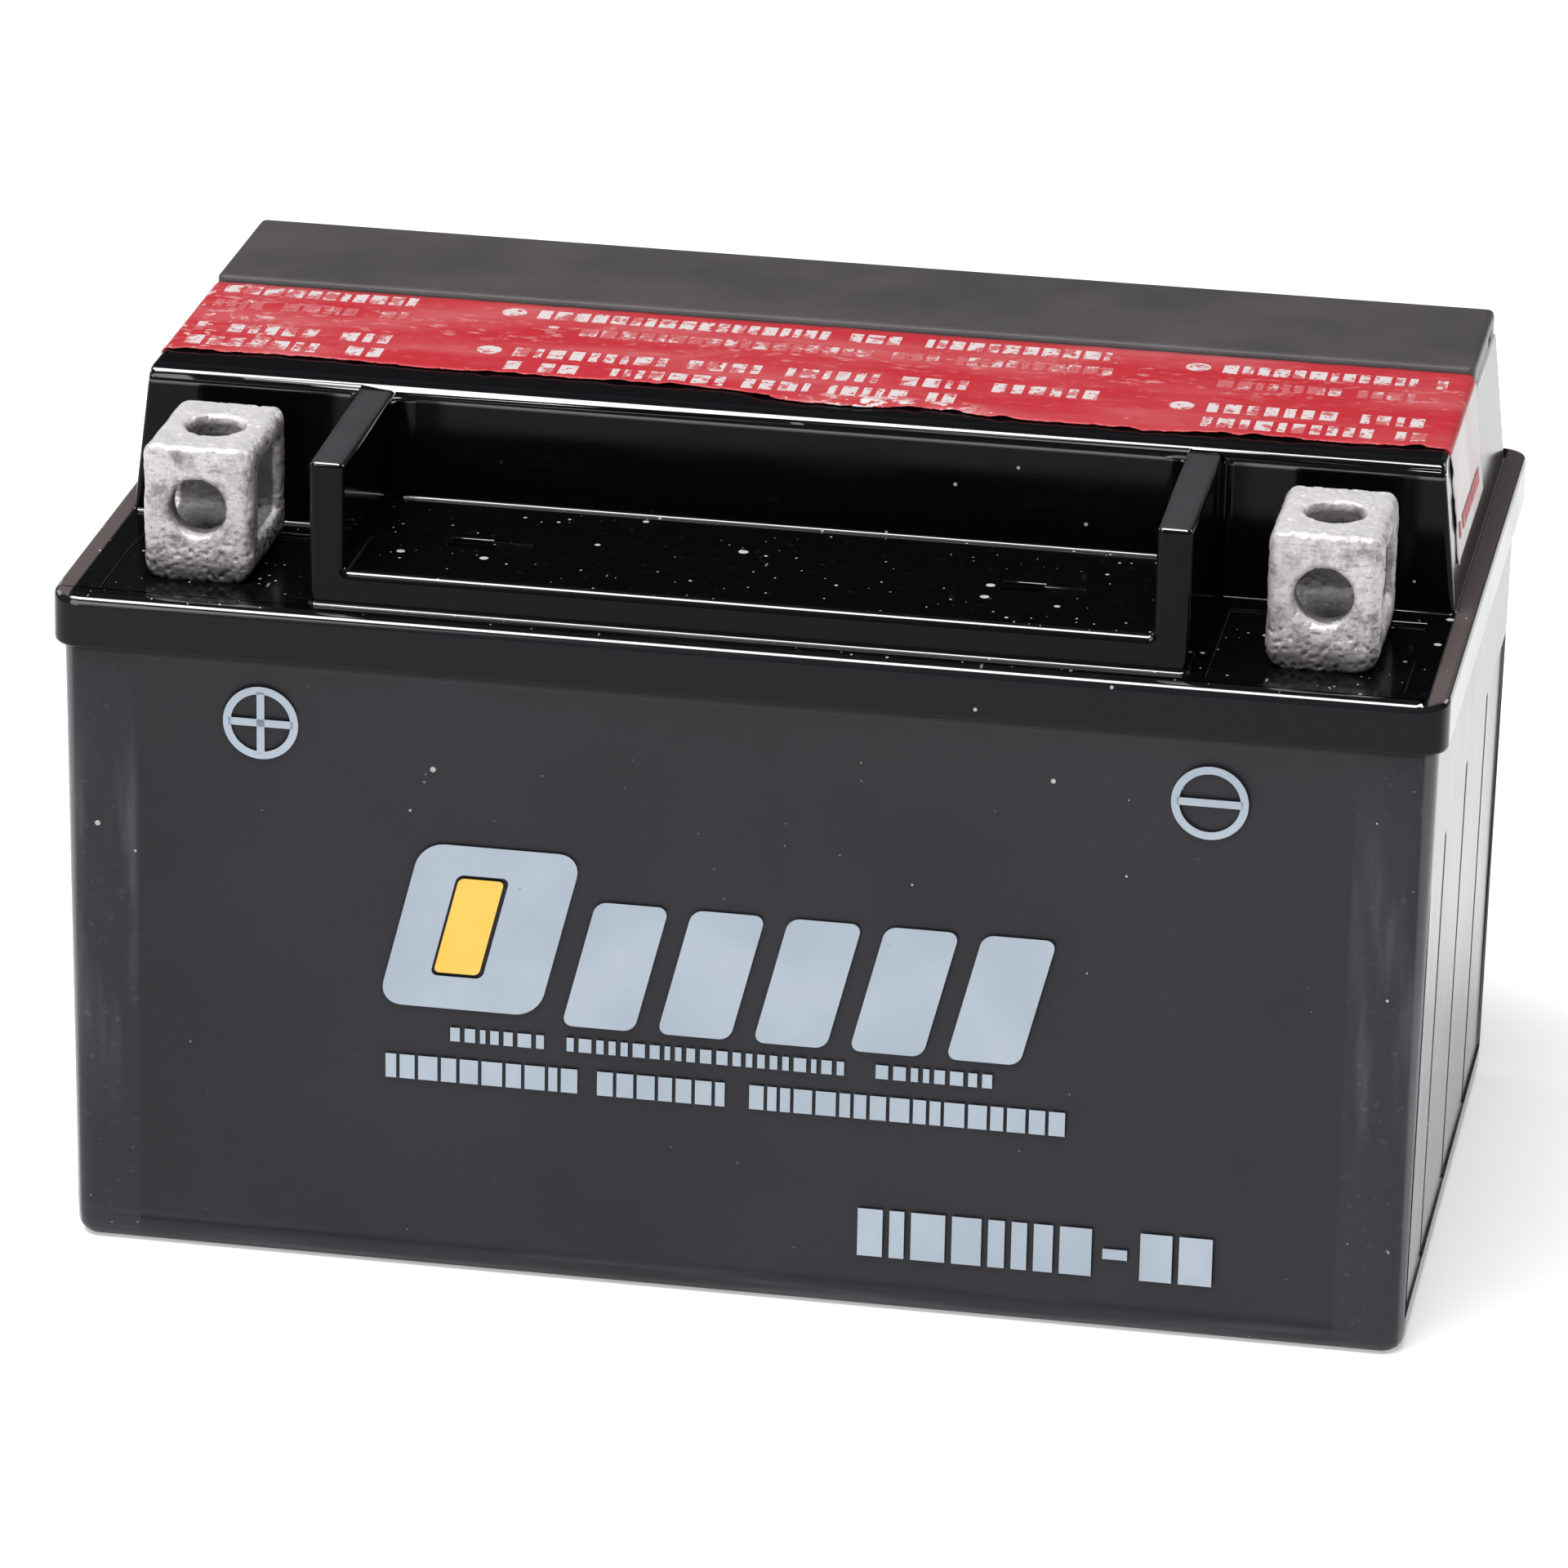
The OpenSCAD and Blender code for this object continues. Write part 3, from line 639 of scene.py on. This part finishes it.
colour = (height.ramp(79.5 * MM, 76.5 * MM) * 0.85).blend(colour, SHADED)
inside = abs(abs(at.axis("X")) - terminal_x).ramp(terminal_half - 0.5 * MM, terminal_half - 0.9 * MM) \
    * depth.ramp(terminal_low.y + 0.9 * MM, terminal_low.y + 1.5 * MM) \
    * height.ramp(terminal_high.z - 0.5 * MM, terminal_high.z - 1.0 * MM)
# Painted light: faces that look up are lightened towards LEAD_BRIGHT, for the light that falls on the
# terminals' tops.
painted_top_light = at.make("NewGeometry", None, None, "Normal").axis("Z").ramp(0.6, 0.9)
colour = (painted_top_light * (0.50 + pitting * 0.5)).blend(colour, LEAD_BRIGHT)
colour = (inside * (0.86 + (coarse - 0.5) * 0.4)).blend(colour, SHADED)
feed(shader, base_color=colour, metallic=0.30 + pitting.ramp(0.45, 0.7) * 0.4 - inside * 0.2,
     roughness=0.38 + oxide * 0.2 + (pitting - 0.5) * 0.25 + inside * 0.15,
     normal=bumped(coarse * 0.6 + pitting * 0.35 + flow * 0.35, 0.20 * MM, 0.85))

for seed, node in enumerate(("positive_terminal", "negative_terminal"), start=3):
    terminal = softened_copy(node, node + "_casting", terminal_edge, 2)
    remesh = terminal.modifiers.new("fine_skin", "REMESH")
    remesh.mode = "VOXEL"
    remesh.voxel_size = 0.2 * MM
    smooth = terminal.modifiers.new("relax", "SMOOTH")
    smooth.factor = 0.5
    smooth.iterations = 1
    applied(terminal)
    cast_surface(terminal, seed * 7.3)
    terminal.data.shade_smooth()
    finish_piece(terminal, lead_finish, "case", "lead", node)


# ---------------------------------------------------------------------------------------------------
# Top label. A printed vinyl sheet stuck across the raised block and folded down over both ends. Its front
# edge is torn unevenly, its red print is rubbed, and its end flaps are white.

label_low, label_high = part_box("top_label")
sheet = 0.14 * MM
fold = 0.9 * MM
top_z = label_high.z - sheet
flap_foot = label_low.z
lean_angle = math.atan2(label_high.x - strip_high.x - 0.2 * MM, label_high.z - label_low.z)


def label_path(share):
    """A point of the sheet's underside at a share, -1 to 1, of the way from one flap's foot to the other,
    and the sheet's outward direction there."""
    side = math.copysign(1, share)
    top_half = strip_high.x - fold * math.tan((math.pi / 2 - lean_angle) / 2)
    turn = math.pi / 2 - lean_angle
    corner = fold * math.tan(turn / 2) * math.cos(lean_angle)
    flap_length = (top_z - corner - flap_foot) / math.cos(lean_angle)
    total = top_half + fold * turn + flap_length
    gone = abs(share) * total
    if gone < top_half:
        return side * gone, top_z, Vector((0, 0, 1))
    gone -= top_half
    angle = min(gone / fold, turn)
    x = top_half + fold * math.sin(angle)
    z = top_z - fold + fold * math.cos(angle)
    gone = max(gone - fold * turn, 0)
    x += gone * math.sin(lean_angle)
    z -= gone * math.cos(lean_angle)
    return side * x, z, Vector((side * math.sin(angle), 0, math.cos(angle)))


sheet_maker = bmesh.new()
columns = 460
rows = 30
grid = []
for i in range(columns + 1):
    share = -1 + 2 * i / columns
    x, z, out = label_path(share)
    torn = Vector((share * 9, 0.4, 0))
    deeper = smooth_step(x, -8 * MM, 2 * MM) - 0.6 * smooth_step(abs(x - 14 * MM), 7 * MM, 2 * MM) \
        - 0.4 * smooth_step(x, 60 * MM, 70 * MM)
    fray = noise.noise(torn) * 0.7 + noise.noise(torn * 5) * 0.4 + noise.noise(torn * 19) * 0.22
    front = -(8.6 + 2.5 * deeper) * MM + fray * MM
    back = label_high.y + noise.noise(torn * 3 + Vector((0, 4, 0))) * 0.15 * MM
    line = []
    for j in range(rows + 1):
        y = front + (back - front) * j / rows
        ripple = (noise.noise(Vector((x, y, z)) * 160) + 1) * 0.03 * MM
        edge_lift = smooth_step(j, 2, 0) * max(noise.noise(torn * 4 + Vector((0, 0, 7))), 0) * 0.35 * MM
        line.append(sheet_maker.verts.new(Vector((x, y, z)) + out * (ripple + edge_lift)))
    grid.append(line)
for first, second in zip(grid, grid[1:]):
    for j in range(rows):
        sheet_maker.faces.new((first[j], second[j], second[j + 1], first[j + 1]))
label = new_piece("top_label_sheet", sheet_maker)
thick = label.modifiers.new("thickness", "SOLIDIFY")
thick.thickness = sheet
thick.offset = 1
applied(label)

RED = (0.50, 0.026, 0.036, 1)
FADED = (0.56, 0.110, 0.120, 1)
PAPER = (0.74, 0.70, 0.695, 1)
GHOST = (0.66, 0.34, 0.34, 1)
FLAP_STAIN = (0.62, 0.50, 0.50, 1)
label_finish, at, shader = new_finish("label_vinyl", ior=1.40, coat_roughness=0.15)
along = at.axis("X")
depth = at.axis("Y")
height = at.axis("Z")
flap = height.ramp(92.75 * MM, 92.45 * MM)
fade = at.stretched((50, 160, 50)).noise(1.0, 4)
smudge = at.stretched((420, 900, 420)).noise(1.0, 4, 0.65)
ghost_row = depth.ramp(1.5 * MM, 3.5 * MM) * depth.ramp(11 * MM, 9 * MM)
text_zone = depth.ramp(-8 * MM, -5 * MM) * depth.ramp(15.5 * MM, 14 * MM)
worn_left = along.ramp(-55 * MM, -71 * MM)
# Painted highlight: the pale patch near the front edge, a little right of the middle, stands for glare off
# wrinkles in the sheet. The pale flecks at the left end and along the torn front edge are real wear.
glare_spot = abs(along - 10.5 * MM).ramp(11 * MM, 4 * MM) * depth.ramp(-6.5 * MM, -9 * MM)
chips = at.noise(520, 4, 0.6)
wear_and_glare = (glare_spot * chips.ramp(0.50, 0.56)).either(worn_left * chips.ramp(0.58, 0.66) * 0.8).either(
    depth.ramp(-7 * MM, -11.5 * MM) * chips.ramp(0.66, 0.70))
colour = fade.ramp(0.35, 0.80).blend(RED, FADED)
ghosts = smudge.ramp(0.54, 0.68) * text_zone * (0.15 + ghost_row * 0.45 + worn_left * 0.4)
colour = ghosts.blend(colour, GHOST)
colour = wear_and_glare.blend(colour, PAPER)
colour = flap.blend(colour, fade.ramp(0.3, 0.8).blend(PAPER, FLAP_STAIN))
colour = at.specks(4 * MM, 0.25 * MM, 0.15).blend(colour, DUST)
feed(shader, base_color=colour, roughness=0.36 + smudge * 0.15 + wear_and_glare * 0.25, coat_weight=(1 - wear_and_glare) * 0.2,
     normal=bumped(at.noise(210, 3), 0.10 * MM, 0.35, bumped(wear_and_glare * -1, 0.05 * MM, 0.5)))
finish_piece(label, label_finish, "case", "label", "top_label")


# ---------------------------------------------------------------------------------------------------
# Print, with no lettering: rows of plain blocks of mixed widths, round bullets on the label, plus and minus
# signs by the terminals, and in the middle a tall bar with a yellow stripe beside five slanted cell bars.
# A row is made by one node tree, then laid on the front panel or the label.

def print_row_tree():
    """Blocks in a row along X: a point for each, spaced by random widths, some left out for word gaps."""
    tree = bpy.data.node_groups.new("print_row", "GeometryNodeTree")
    sockets = {"Length": 0.05, "Height": 0.002, "Gap": 0.0005, "Shortest": 0.001, "Longest": 0.002,
               "Thickness": 0.00004, "Spaces": 0.16}
    for name, value in sockets.items():
        socket = tree.interface.new_socket(name, in_out="INPUT", socket_type="NodeSocketFloat")
        socket.default_value = value
    tree.interface.new_socket("Seed", in_out="INPUT", socket_type="NodeSocketInt")
    tree.interface.new_socket("Ink", in_out="INPUT", socket_type="NodeSocketMaterial")
    tree.interface.new_socket("Print", in_out="OUTPUT", socket_type="NodeSocketGeometry")
    given = tree.nodes.new("NodeGroupInput").outputs

    def node(kind, settings=None, values=None):
        return add_node(tree, kind, settings, values)

    def maths(operation, first, second):
        return result(node("ShaderNodeMath", {"operation": operation}, {0: first, 1: second}))

    points = result(node("GeometryNodeMeshLine", {"mode": "OFFSET"}, {"Count": 90, "Offset": (0, 0, 0)}))
    width = result(node("FunctionNodeRandomValue", {"data_type": "FLOAT"},
                        {"Min": given["Shortest"], "Max": given["Longest"], "Seed": given["Seed"]}))
    blank = result(node("FunctionNodeRandomValue", {"data_type": "BOOLEAN"},
                        {"Probability": given["Spaces"], "Seed": given["Seed"]}))
    step = maths("ADD", width, given["Gap"])
    spread = node("GeometryNodeAccumulateField", {"data_type": "FLOAT"}, {"Value": step})
    start = result(spread, "Trailing")
    middle = maths("ADD", start, maths("MULTIPLY", width, 0.5))
    offset = result(node("ShaderNodeCombineXYZ", None, {"X": middle}))
    laid = result(node("GeometryNodeSetPosition", None, {"Geometry": points, "Offset": offset}))
    past_end = result(node("FunctionNodeCompare", {"operation": "GREATER_THAN", "data_type": "FLOAT"},
                           {"A": maths("ADD", start, width), "B": given["Length"]}))
    unwanted = result(node("FunctionNodeBooleanMath", {"operation": "OR"}, {0: past_end, 1: blank}))
    size = result(node("ShaderNodeCombineXYZ", None,
                       {"X": width, "Y": given["Height"], "Z": given["Thickness"]}))
    kept_size = node("GeometryNodeStoreNamedAttribute", {"data_type": "FLOAT_VECTOR", "domain": "POINT"},
                     {"Geometry": laid, "Name": "block_size", "Value": size})
    trimmed = result(node("GeometryNodeDeleteGeometry", {"domain": "POINT"},
                          {"Geometry": result(kept_size), "Selection": unwanted}))
    block = result(node("GeometryNodeMeshCube", None, {"Size": (1, 1, 1)}), "Mesh")
    stored = result(node("GeometryNodeInputNamedAttribute", {"data_type": "FLOAT_VECTOR"},
                         {"Name": "block_size"}), "Attribute")
    placed = result(node("GeometryNodeInstanceOnPoints", None,
                         {"Points": trimmed, "Instance": block, "Scale": stored}))
    real = result(node("GeometryNodeRealizeInstances", None, {"Geometry": placed}))
    inked = result(node("GeometryNodeSetMaterial", None, {"Geometry": real, "Material": given["Ink"]}))
    node("NodeGroupOutput", None, {"Print": inked})
    return tree


row_tree = print_row_tree()
row_inputs = {item.name: item.identifier for item in row_tree.interface.items_tree if item.in_out == "INPUT"}


def print_row(ink, **sizes):
    """One row of blocks along X from the origin, as a plain mesh."""
    holder = bpy.data.objects.new("row", bpy.data.meshes.new("row"))
    bpy.context.scene.collection.objects.link(holder)
    rows_of_blocks = holder.modifiers.new("row", "NODES")
    rows_of_blocks.node_group = row_tree
    rows_of_blocks[row_inputs["Ink"]] = ink
    for name, value in sizes.items():
        rows_of_blocks[row_inputs[name.title()]] = value
    applied(holder)
    mesh = holder.data
    bpy.data.objects.remove(holder)
    return mesh


ink_thickness = 0.03 * MM


def flat_plate(*outlines):
    """A thin plate, as a plain mesh, from closed outlines in X and Y. One inside another is a hole."""
    curve = bpy.data.curves.new("plate", "CURVE")
    curve.dimensions = "2D"
    curve.fill_mode = "BOTH"
    curve.extrude = ink_thickness / 2
    for outline in outlines:
        spline = curve.splines.new("POLY")
        spline.points.add(len(outline) - 1)
        for point, (x, y) in zip(spline.points, outline):
            point.co = (x, y, 0, 1)
        spline.use_cyclic_u = True
    holder = bpy.data.objects.new("plate", curve)
    bpy.context.scene.collection.objects.link(holder)
    graph = bpy.context.evaluated_depsgraph_get()
    mesh = bpy.data.meshes.new_from_object(holder.evaluated_get(graph))
    bpy.data.objects.remove(holder)
    return mesh


def circle(x, y, radius, steps=72):
    return [(x + radius * math.cos(2 * math.pi * i / steps), y + radius * math.sin(2 * math.pi * i / steps))
            for i in range(steps)]


def bar(left, right, bottom, top, slant=0.0, radius=0.0, steps=6):
    """A bar with round corners. slant is how far it leans to the right for each unit of height."""
    points = []
    for corner, (x, y) in enumerate(((right, top), (left, top), (left, bottom), (right, bottom))):
        inward_x = -radius if x == right else radius
        inward_y = -radius if y == top else radius
        for i in range(steps + 1 if radius else 1):
            angle = math.radians(90 * corner + 90 * i / steps)
            points.append((x + inward_x + radius * math.cos(angle), y + inward_y + radius * math.sin(angle)))
    return [(x + slant * (y - bottom), y) for x, y in points]


def joined(name, meshes, lay):
    """One piece from several meshes, with every point put in place by lay(x, y, z)."""
    maker = bmesh.new()
    for mesh in meshes:
        maker.from_mesh(mesh)
        bpy.data.meshes.remove(mesh)
    bmesh.ops.remove_doubles(maker, verts=maker.verts, dist=1e-8)
    for vertex in maker.verts:
        vertex.co = lay(*vertex.co)
    bmesh.ops.recalc_face_normals(maker, faces=maker.faces)
    return new_piece(name, maker)


def shifted(mesh, x, y):
    for vertex in mesh.vertices:
        vertex.co.x += x
        vertex.co.y += y
    return mesh


def on_front(x, y, z):
    """Lays print on the front panel, which leans in towards the base."""
    panel_y = -(case_half_y + panel_relief - side_lean * (1 - y / case_top))
    return Vector((x, panel_y - z - ink_thickness * 0.6, y))


def ink_finish(name, colour, pale):
    """Screen-printed ink, slightly uneven, with pinholes and rub marks."""
    finish, at, shader = new_finish(name, ior=1.45)
    cloud = at.noise(90, 4)
    pinholes = at.specks(1.4 * MM, 0.12 * MM, 0.10)
    rub = at.scratches(1.6 * MM, 14 * MM, (0.3, 0.2, 0.4), 0.06)
    tone = cloud.ramp(0.3, 0.75).blend(colour, pale)
    tone = (pinholes * 0.6 + rub * 0.3).blend(tone, CASE_LIGHT)
    feed(shader, base_color=tone, roughness=0.42 + (cloud - 0.5) * 0.1,
         normal=bumped(at.noise(3000, 2), 0.01 * MM, 0.4))
    return finish


ink = ink_finish("pale_ink", (0.33, 0.385, 0.450, 1), (0.39, 0.445, 0.510, 1))
yellow_ink = ink_finish("yellow_ink", (0.80, 0.48, 0.060, 1), (0.84, 0.54, 0.10, 1))

sign_r = 4.15 * MM
sign_line = 0.85 * MM
reach = sign_r - sign_line * 0.7
half = sign_line / 2
slant = 0.25
signs = []
for x, y, upright in ((-52.3 * MM, 62.9 * MM, True), (50.7 * MM, 62.7 * MM, False)):
    signs.append(flat_plate(circle(x, y, sign_r), circle(x, y, sign_r - sign_line)))
    signs.append(flat_plate(bar(x - reach, x + reach, y - half, y + half)))
    if upright:
        signs.append(flat_plate(bar(x - half, x + half, y - reach, y + reach)))
tall_bar = bar(-39.4 * MM, -21.6 * MM, 31.4 * MM, 50.6 * MM, slant, 2.6 * MM)
stripe = bar(-33.2 * MM, -28.2 * MM, 35.6 * MM, 46.8 * MM, slant, 0.6 * MM)
stripe_gap = bar(-33.6 * MM, -27.8 * MM, 35.2 * MM, 47.2 * MM, slant, 0.8 * MM)
signs.append(flat_plate(tall_bar, stripe_gap))
cell_width = 8.0 * MM
cell_step = 10.55 * MM
for k in range(5):
    left = -19.0 * MM + k * cell_step
    signs.append(flat_plate(bar(left, left + cell_width, 30.6 * MM, 45.4 * MM, slant, 1.2 * MM)))
small_line = dict(height=1.6 * MM, gap=0.55 * MM, shortest=0.5 * MM, longest=1.5 * MM, spaces=0.0)
bold_line = dict(height=2.8 * MM, gap=0.40 * MM, shortest=0.9 * MM, longest=2.4 * MM, spaces=0.0)
code_line = dict(height=5.6 * MM, gap=0.75 * MM, shortest=1.6 * MM, longest=3.8 * MM, spaces=0.0)
words = ((small_line, 28.4, ((-31.3, -20.2), (-18.4, 13.6), (15.6, 29.6))),
         (bold_line, 24.1, ((-38.5, -16.8), (-15.0, -0.1), (1.8, 37.9))),
         (code_line, 9.3, ((14.0, 39.8), (45.0, 55.9))))
for style, line_y, spans in words:
    for word, (left, right) in enumerate(spans):
        row = print_row(ink, length=(right - left) * MM, seed=int(line_y) + 5 * word, **style)
        signs.append(shifted(row, left * MM, line_y * MM))
signs.append(flat_plate(bar(40.9 * MM, 43.6 * MM, 8.7 * MM, 9.9 * MM)))
front_print = joined("front_print", signs, on_front)
finish_piece(front_print, ink, "case", "label")
accent = joined("front_print_accent", [flat_plate(stripe)], on_front)
finish_piece(accent, yellow_ink, "case", "label")


def on_label(x, y, z):
    """Lays print on the label's top, over the same ripples as the sheet's."""
    ripple = (noise.noise(Vector((x, y, top_z)) * 160) + 1) * 0.03 * MM
    return Vector((x, y, top_z + sheet + ripple + z + ink_thickness * 0.5))


label_ink, at, shader = new_finish("label_ink", ior=1.40)
smudge = at.noise(420, 4, 0.65)
depth = at.axis("Y")
worn_row = depth.ramp(2.5 * MM, 4 * MM) * depth.ramp(10.5 * MM, 9.5 * MM) * 0.12
worn_left = at.axis("X").ramp(-45 * MM, -69 * MM) * 0.06
tone = (smudge + worn_row + worn_left).ramp(0.50, 0.60).blend((0.66, 0.585, 0.585, 1), (0.53, 0.13, 0.14, 1))
tone = at.noise(1500, 2).ramp(0.60, 0.66).blend(tone, RED)
feed(shader, base_color=tone, roughness=0.4 + smudge * 0.1, normal=bumped(smudge, 0.02 * MM, 0.4))

label_marks = []
rows_at = ((12.4, 2.9, 0.50), (7.2, 2.6, 0.45), (-1.3, 3.0, 0.70), (-6.2, 3.1, 0.65))
columns_at = ((-69.5, 23, 0.9), (-33.3, 66, 0.0), (44.0, 25, -1.2))
for column, (left, length, raised) in enumerate(columns_at):
    for line, (row_y, block, gap) in enumerate(rows_at):
        reach = length * (0.76 if column == 1 and line == 3 else 1)
        row = print_row(label_ink, length=reach * MM, height=block * MM, gap=gap * MM, shortest=0.7 * MM,
                        longest=2.0 * MM, seed=column * 10 + line, spaces=0.15)
        label_marks.append(shifted(row, left * MM, (row_y + raised) * MM))
        if line % 2 == 0 and column > 0:
            bullet = circle((left - 2.8) * MM, (row_y + raised) * MM, 1.4 * MM, 24)
            label_marks.append(flat_plate(bullet))
label_print = joined("label_print", label_marks, on_label)
finish_piece(label_print, label_ink, "case", "label")

flap_ink = ink_finish("flap_ink", (0.50, 0.02, 0.04, 1), (0.60, 0.10, 0.12, 1))


def on_flap(side):
    """Lays print on an end flap. x runs along the flap, and y up it from its foot."""
    def lay(x, y, z):
        out = Vector((side * math.cos(lean_angle), 0, math.sin(lean_angle)))
        foot = Vector((side * (label_high.x - 0.2 * MM), 0, flap_foot))
        up = Vector((-side * math.sin(lean_angle), 0, math.cos(lean_angle)))
        lift = sheet + 0.1 * MM + z
        return foot + up * y + Vector((0, side * x, 0)) + out * lift
    return lay


for name, side in (("left", -1), ("right", 1)):
    row = print_row(flap_ink, length=20 * MM, height=1.7 * MM, gap=0.5 * MM, shortest=0.8 * MM,
                    longest=1.8 * MM, seed=40 + side, spaces=0.1)
    shifted(row, -8 * MM if side > 0 else -13 * MM, 3.0 * MM)
    flap_print = joined(f"flap_print_{name}", [row], on_flap(side))
    finish_piece(flap_print, flap_ink, "case", "label")


# ---------------------------------------------------------------------------------------------------
# Small sealing parts: potting round the posts, rubber rings and relief valves, and the porous vent disc.

resin_finish, at, shader = new_finish("potting", ior=1.5)
swirl = at.noise(300, 3)
feed(shader, base_color=swirl.blend((0.006, 0.006, 0.007, 1), (0.016, 0.015, 0.015, 1)),
     roughness=0.16 + swirl * 0.15, normal=bumped(swirl, 0.1 * MM, 0.5))

rubber_finish, at, shader = new_finish("black_rubber", ior=1.5)
bloom = at.noise(700, 4)
feed(shader, base_color=bloom.ramp(0.4, 0.8).blend((0.012, 0.012, 0.012, 1), (0.045, 0.044, 0.043, 1)),
     roughness=0.62 + bloom * 0.2, normal=bumped(at.noise(5000, 2), 0.01 * MM, 0.6))

vent_finish, at, shader = new_finish("porous_disc")
pores = at.noise(4200, 3, 0.7)
feed(shader, base_color=pores.ramp(0.35, 0.65).blend((0.42, 0.39, 0.34, 1), (0.78, 0.75, 0.68, 1)),
     roughness=0.85 + pores * 0.1, normal=bumped(pores, 0.08 * MM, 0.9))


def dress(node, material):
    """Puts a material on a CAD node that is shown as it is."""
    mesh = frame["nodes"][node].data
    mesh.materials.clear()
    mesh.materials.append(material)


for side in ("positive", "negative"):
    dress(side + "_post_resin", resin_finish)
    dress(side + "_post", lead_finish)
dress("vent_filter", vent_finish)
for k in cell_numbers:
    dress(f"plug_seal_{k}", rubber_finish)
    dress(f"relief_valve_{k}", rubber_finish)


# ---------------------------------------------------------------------------------------------------
# Cell groups. Pasted lead grids with pressed glass mats between them, cast straps over their lugs, and
# the slugs welded through the partitions.

def plate_finish(name, paste, worn, grid_metal):
    """Paste over a lead grid: the grid's bars show faintly through it as a brick pattern."""
    finish, at, shader = new_finish(name)
    face = at.make("CombineXYZ", None, {"X": at.axis("Y"), "Y": at.axis("Z")})
    lattice = face.make("TexBrick", {"offset": 0.0, "squash": 1.0},
                        {"Vector": face, "Scale": 1.0, "Mortar Size": 0.0004, "Mortar Smooth": 0.3,
                         "Brick Width": 0.009, "Row Height": 0.0045, "Color1": (0, 0, 0, 1),
                         "Color2": (0, 0, 0, 1), "Mortar": (1, 1, 1, 1)}, "Fac")
    cake = at.noise(800, 5, 0.65)
    tone = cake.ramp(0.3, 0.7).blend(paste, worn)
    tone = (lattice * 0.45).blend(tone, grid_metal)
    feed(shader, base_color=tone, roughness=0.8 + cake * 0.15,
         normal=bumped(lattice * 0.6 + cake * 0.5, 0.12 * MM, 0.8))
    return finish


positive_finish = plate_finish("positive_paste", (0.060, 0.030, 0.022, 1), (0.110, 0.060, 0.042, 1),
                               (0.20, 0.17, 0.16, 1))
negative_finish = plate_finish("negative_paste", (0.16, 0.16, 0.17, 1), (0.25, 0.25, 0.26, 1),
                               (0.34, 0.34, 0.35, 1))
mat_finish, at, shader = new_finish("glass_mat")
fibres = at.stretched((600, 7000, 900)).noise(1.0, 3).either(at.stretched((600, 900, 7000)).noise(1.0, 3))
damp = at.noise(60, 3)
feed(shader, base_color=fibres.ramp(0.45, 0.75).blend((0.62, 0.62, 0.58, 1), (0.88, 0.88, 0.85, 1)),
     roughness=0.9 - damp * 0.15, normal=bumped(fibres, 0.06 * MM, 0.8))
for k in cell_numbers:
    dress(f"cell_{k}_positive_plates", positive_finish)
    dress(f"cell_{k}_negative_plates", negative_finish)
    dress(f"cell_{k}_glass_mats", mat_finish)
    dress(f"cell_{k}_positive_strap", lead_finish)
    dress(f"cell_{k}_negative_strap", lead_finish)
for k in weld_numbers:
    dress(f"cell_weld_{k}", lead_finish)


# ---------------------------------------------------------------------------------------------------
# Studio: a pale floor, soft lights from above, from the front and from both sides, and a dim room.

floor_maker = bmesh.new()
bmesh.ops.create_grid(floor_maker, x_segments=2, y_segments=2, size=6)
floor = new_piece("studio_floor", floor_maker)
floor_finish, at, shader = new_finish("pale_floor", ior=1.4, emission_color=(1, 1, 1, 1),
                                      emission_strength=0.40)
paper = at.noise(40, 3)
feed(shader, base_color=paper.blend((0.90, 0.90, 0.905, 1), (0.92, 0.92, 0.925, 1)),
     roughness=0.9 + paper * 0.05)
floor.data.materials.append(floor_finish)


def soft_light(name, place, size, watts):
    """A rectangular light that points at the middle of the object."""
    light = bpy.data.lights.new(name, "AREA")
    light.shape = "RECTANGLE"
    light.size, light.size_y = size
    light.energy = watts
    holder = bpy.data.objects.new(name, light)
    holder.location = place
    holder.rotation_euler = (aim - Vector(place)).to_track_quat("-Z", "Y").to_euler()
    bpy.context.scene.collection.objects.link(holder)


aim = Vector((0, 0, 0.04))
soft_light("overhead", (-0.20, -0.46, 1.23), (1.25, 0.50), 23)
soft_light("front", (-0.9, -1.5, 1.0), (0.9, 0.9), 4.5)
soft_light("right", (1.3, 0.9, 0.8), (0.8, 0.8), 5)
soft_light("left", (-1.4, 0.5, 0.7), (0.7, 0.7), 3)

world = bpy.context.scene.world or bpy.data.worlds.new("room")
bpy.context.scene.world = world
world.use_nodes = True
world.node_tree.nodes["Background"].inputs["Color"].default_value = (0.80, 0.85, 0.95, 1)
world.node_tree.nodes["Background"].inputs["Strength"].default_value = 0.06
bpy.context.scene.view_settings.view_transform = "Standard"

# The camera looks down on the front, from a little to the right.
camera_data = bpy.data.cameras.new("camera")
camera_data.sensor_width = 36
camera_data.lens = 198.89
camera = bpy.data.objects.new("camera", camera_data)
turn, tilt, roll = (math.radians(a) for a in (9.707, 20.960, 1.250))
forward = Vector((-math.sin(turn) * math.cos(tilt), math.cos(turn) * math.cos(tilt), -math.sin(tilt)))
right = Vector((math.cos(turn), math.sin(turn), 0))
up = right.cross(forward)
rolled_right = right * math.cos(roll) + up * math.sin(roll)
rolled_up = up * math.cos(roll) - right * math.sin(roll)
looked_at = Vector((-2.261, 0, 44.452)) * MM
distance = 969.8 * MM
camera.matrix_world = Matrix((
    (rolled_right.x, rolled_up.x, -forward.x, looked_at.x - forward.x * distance),
    (rolled_right.y, rolled_up.y, -forward.y, looked_at.y - forward.y * distance),
    (rolled_right.z, rolled_up.z, -forward.z, looked_at.z - forward.z * distance),
    (0, 0, 0, 1)))
bpy.context.scene.collection.objects.link(camera)
bpy.context.scene.camera = camera
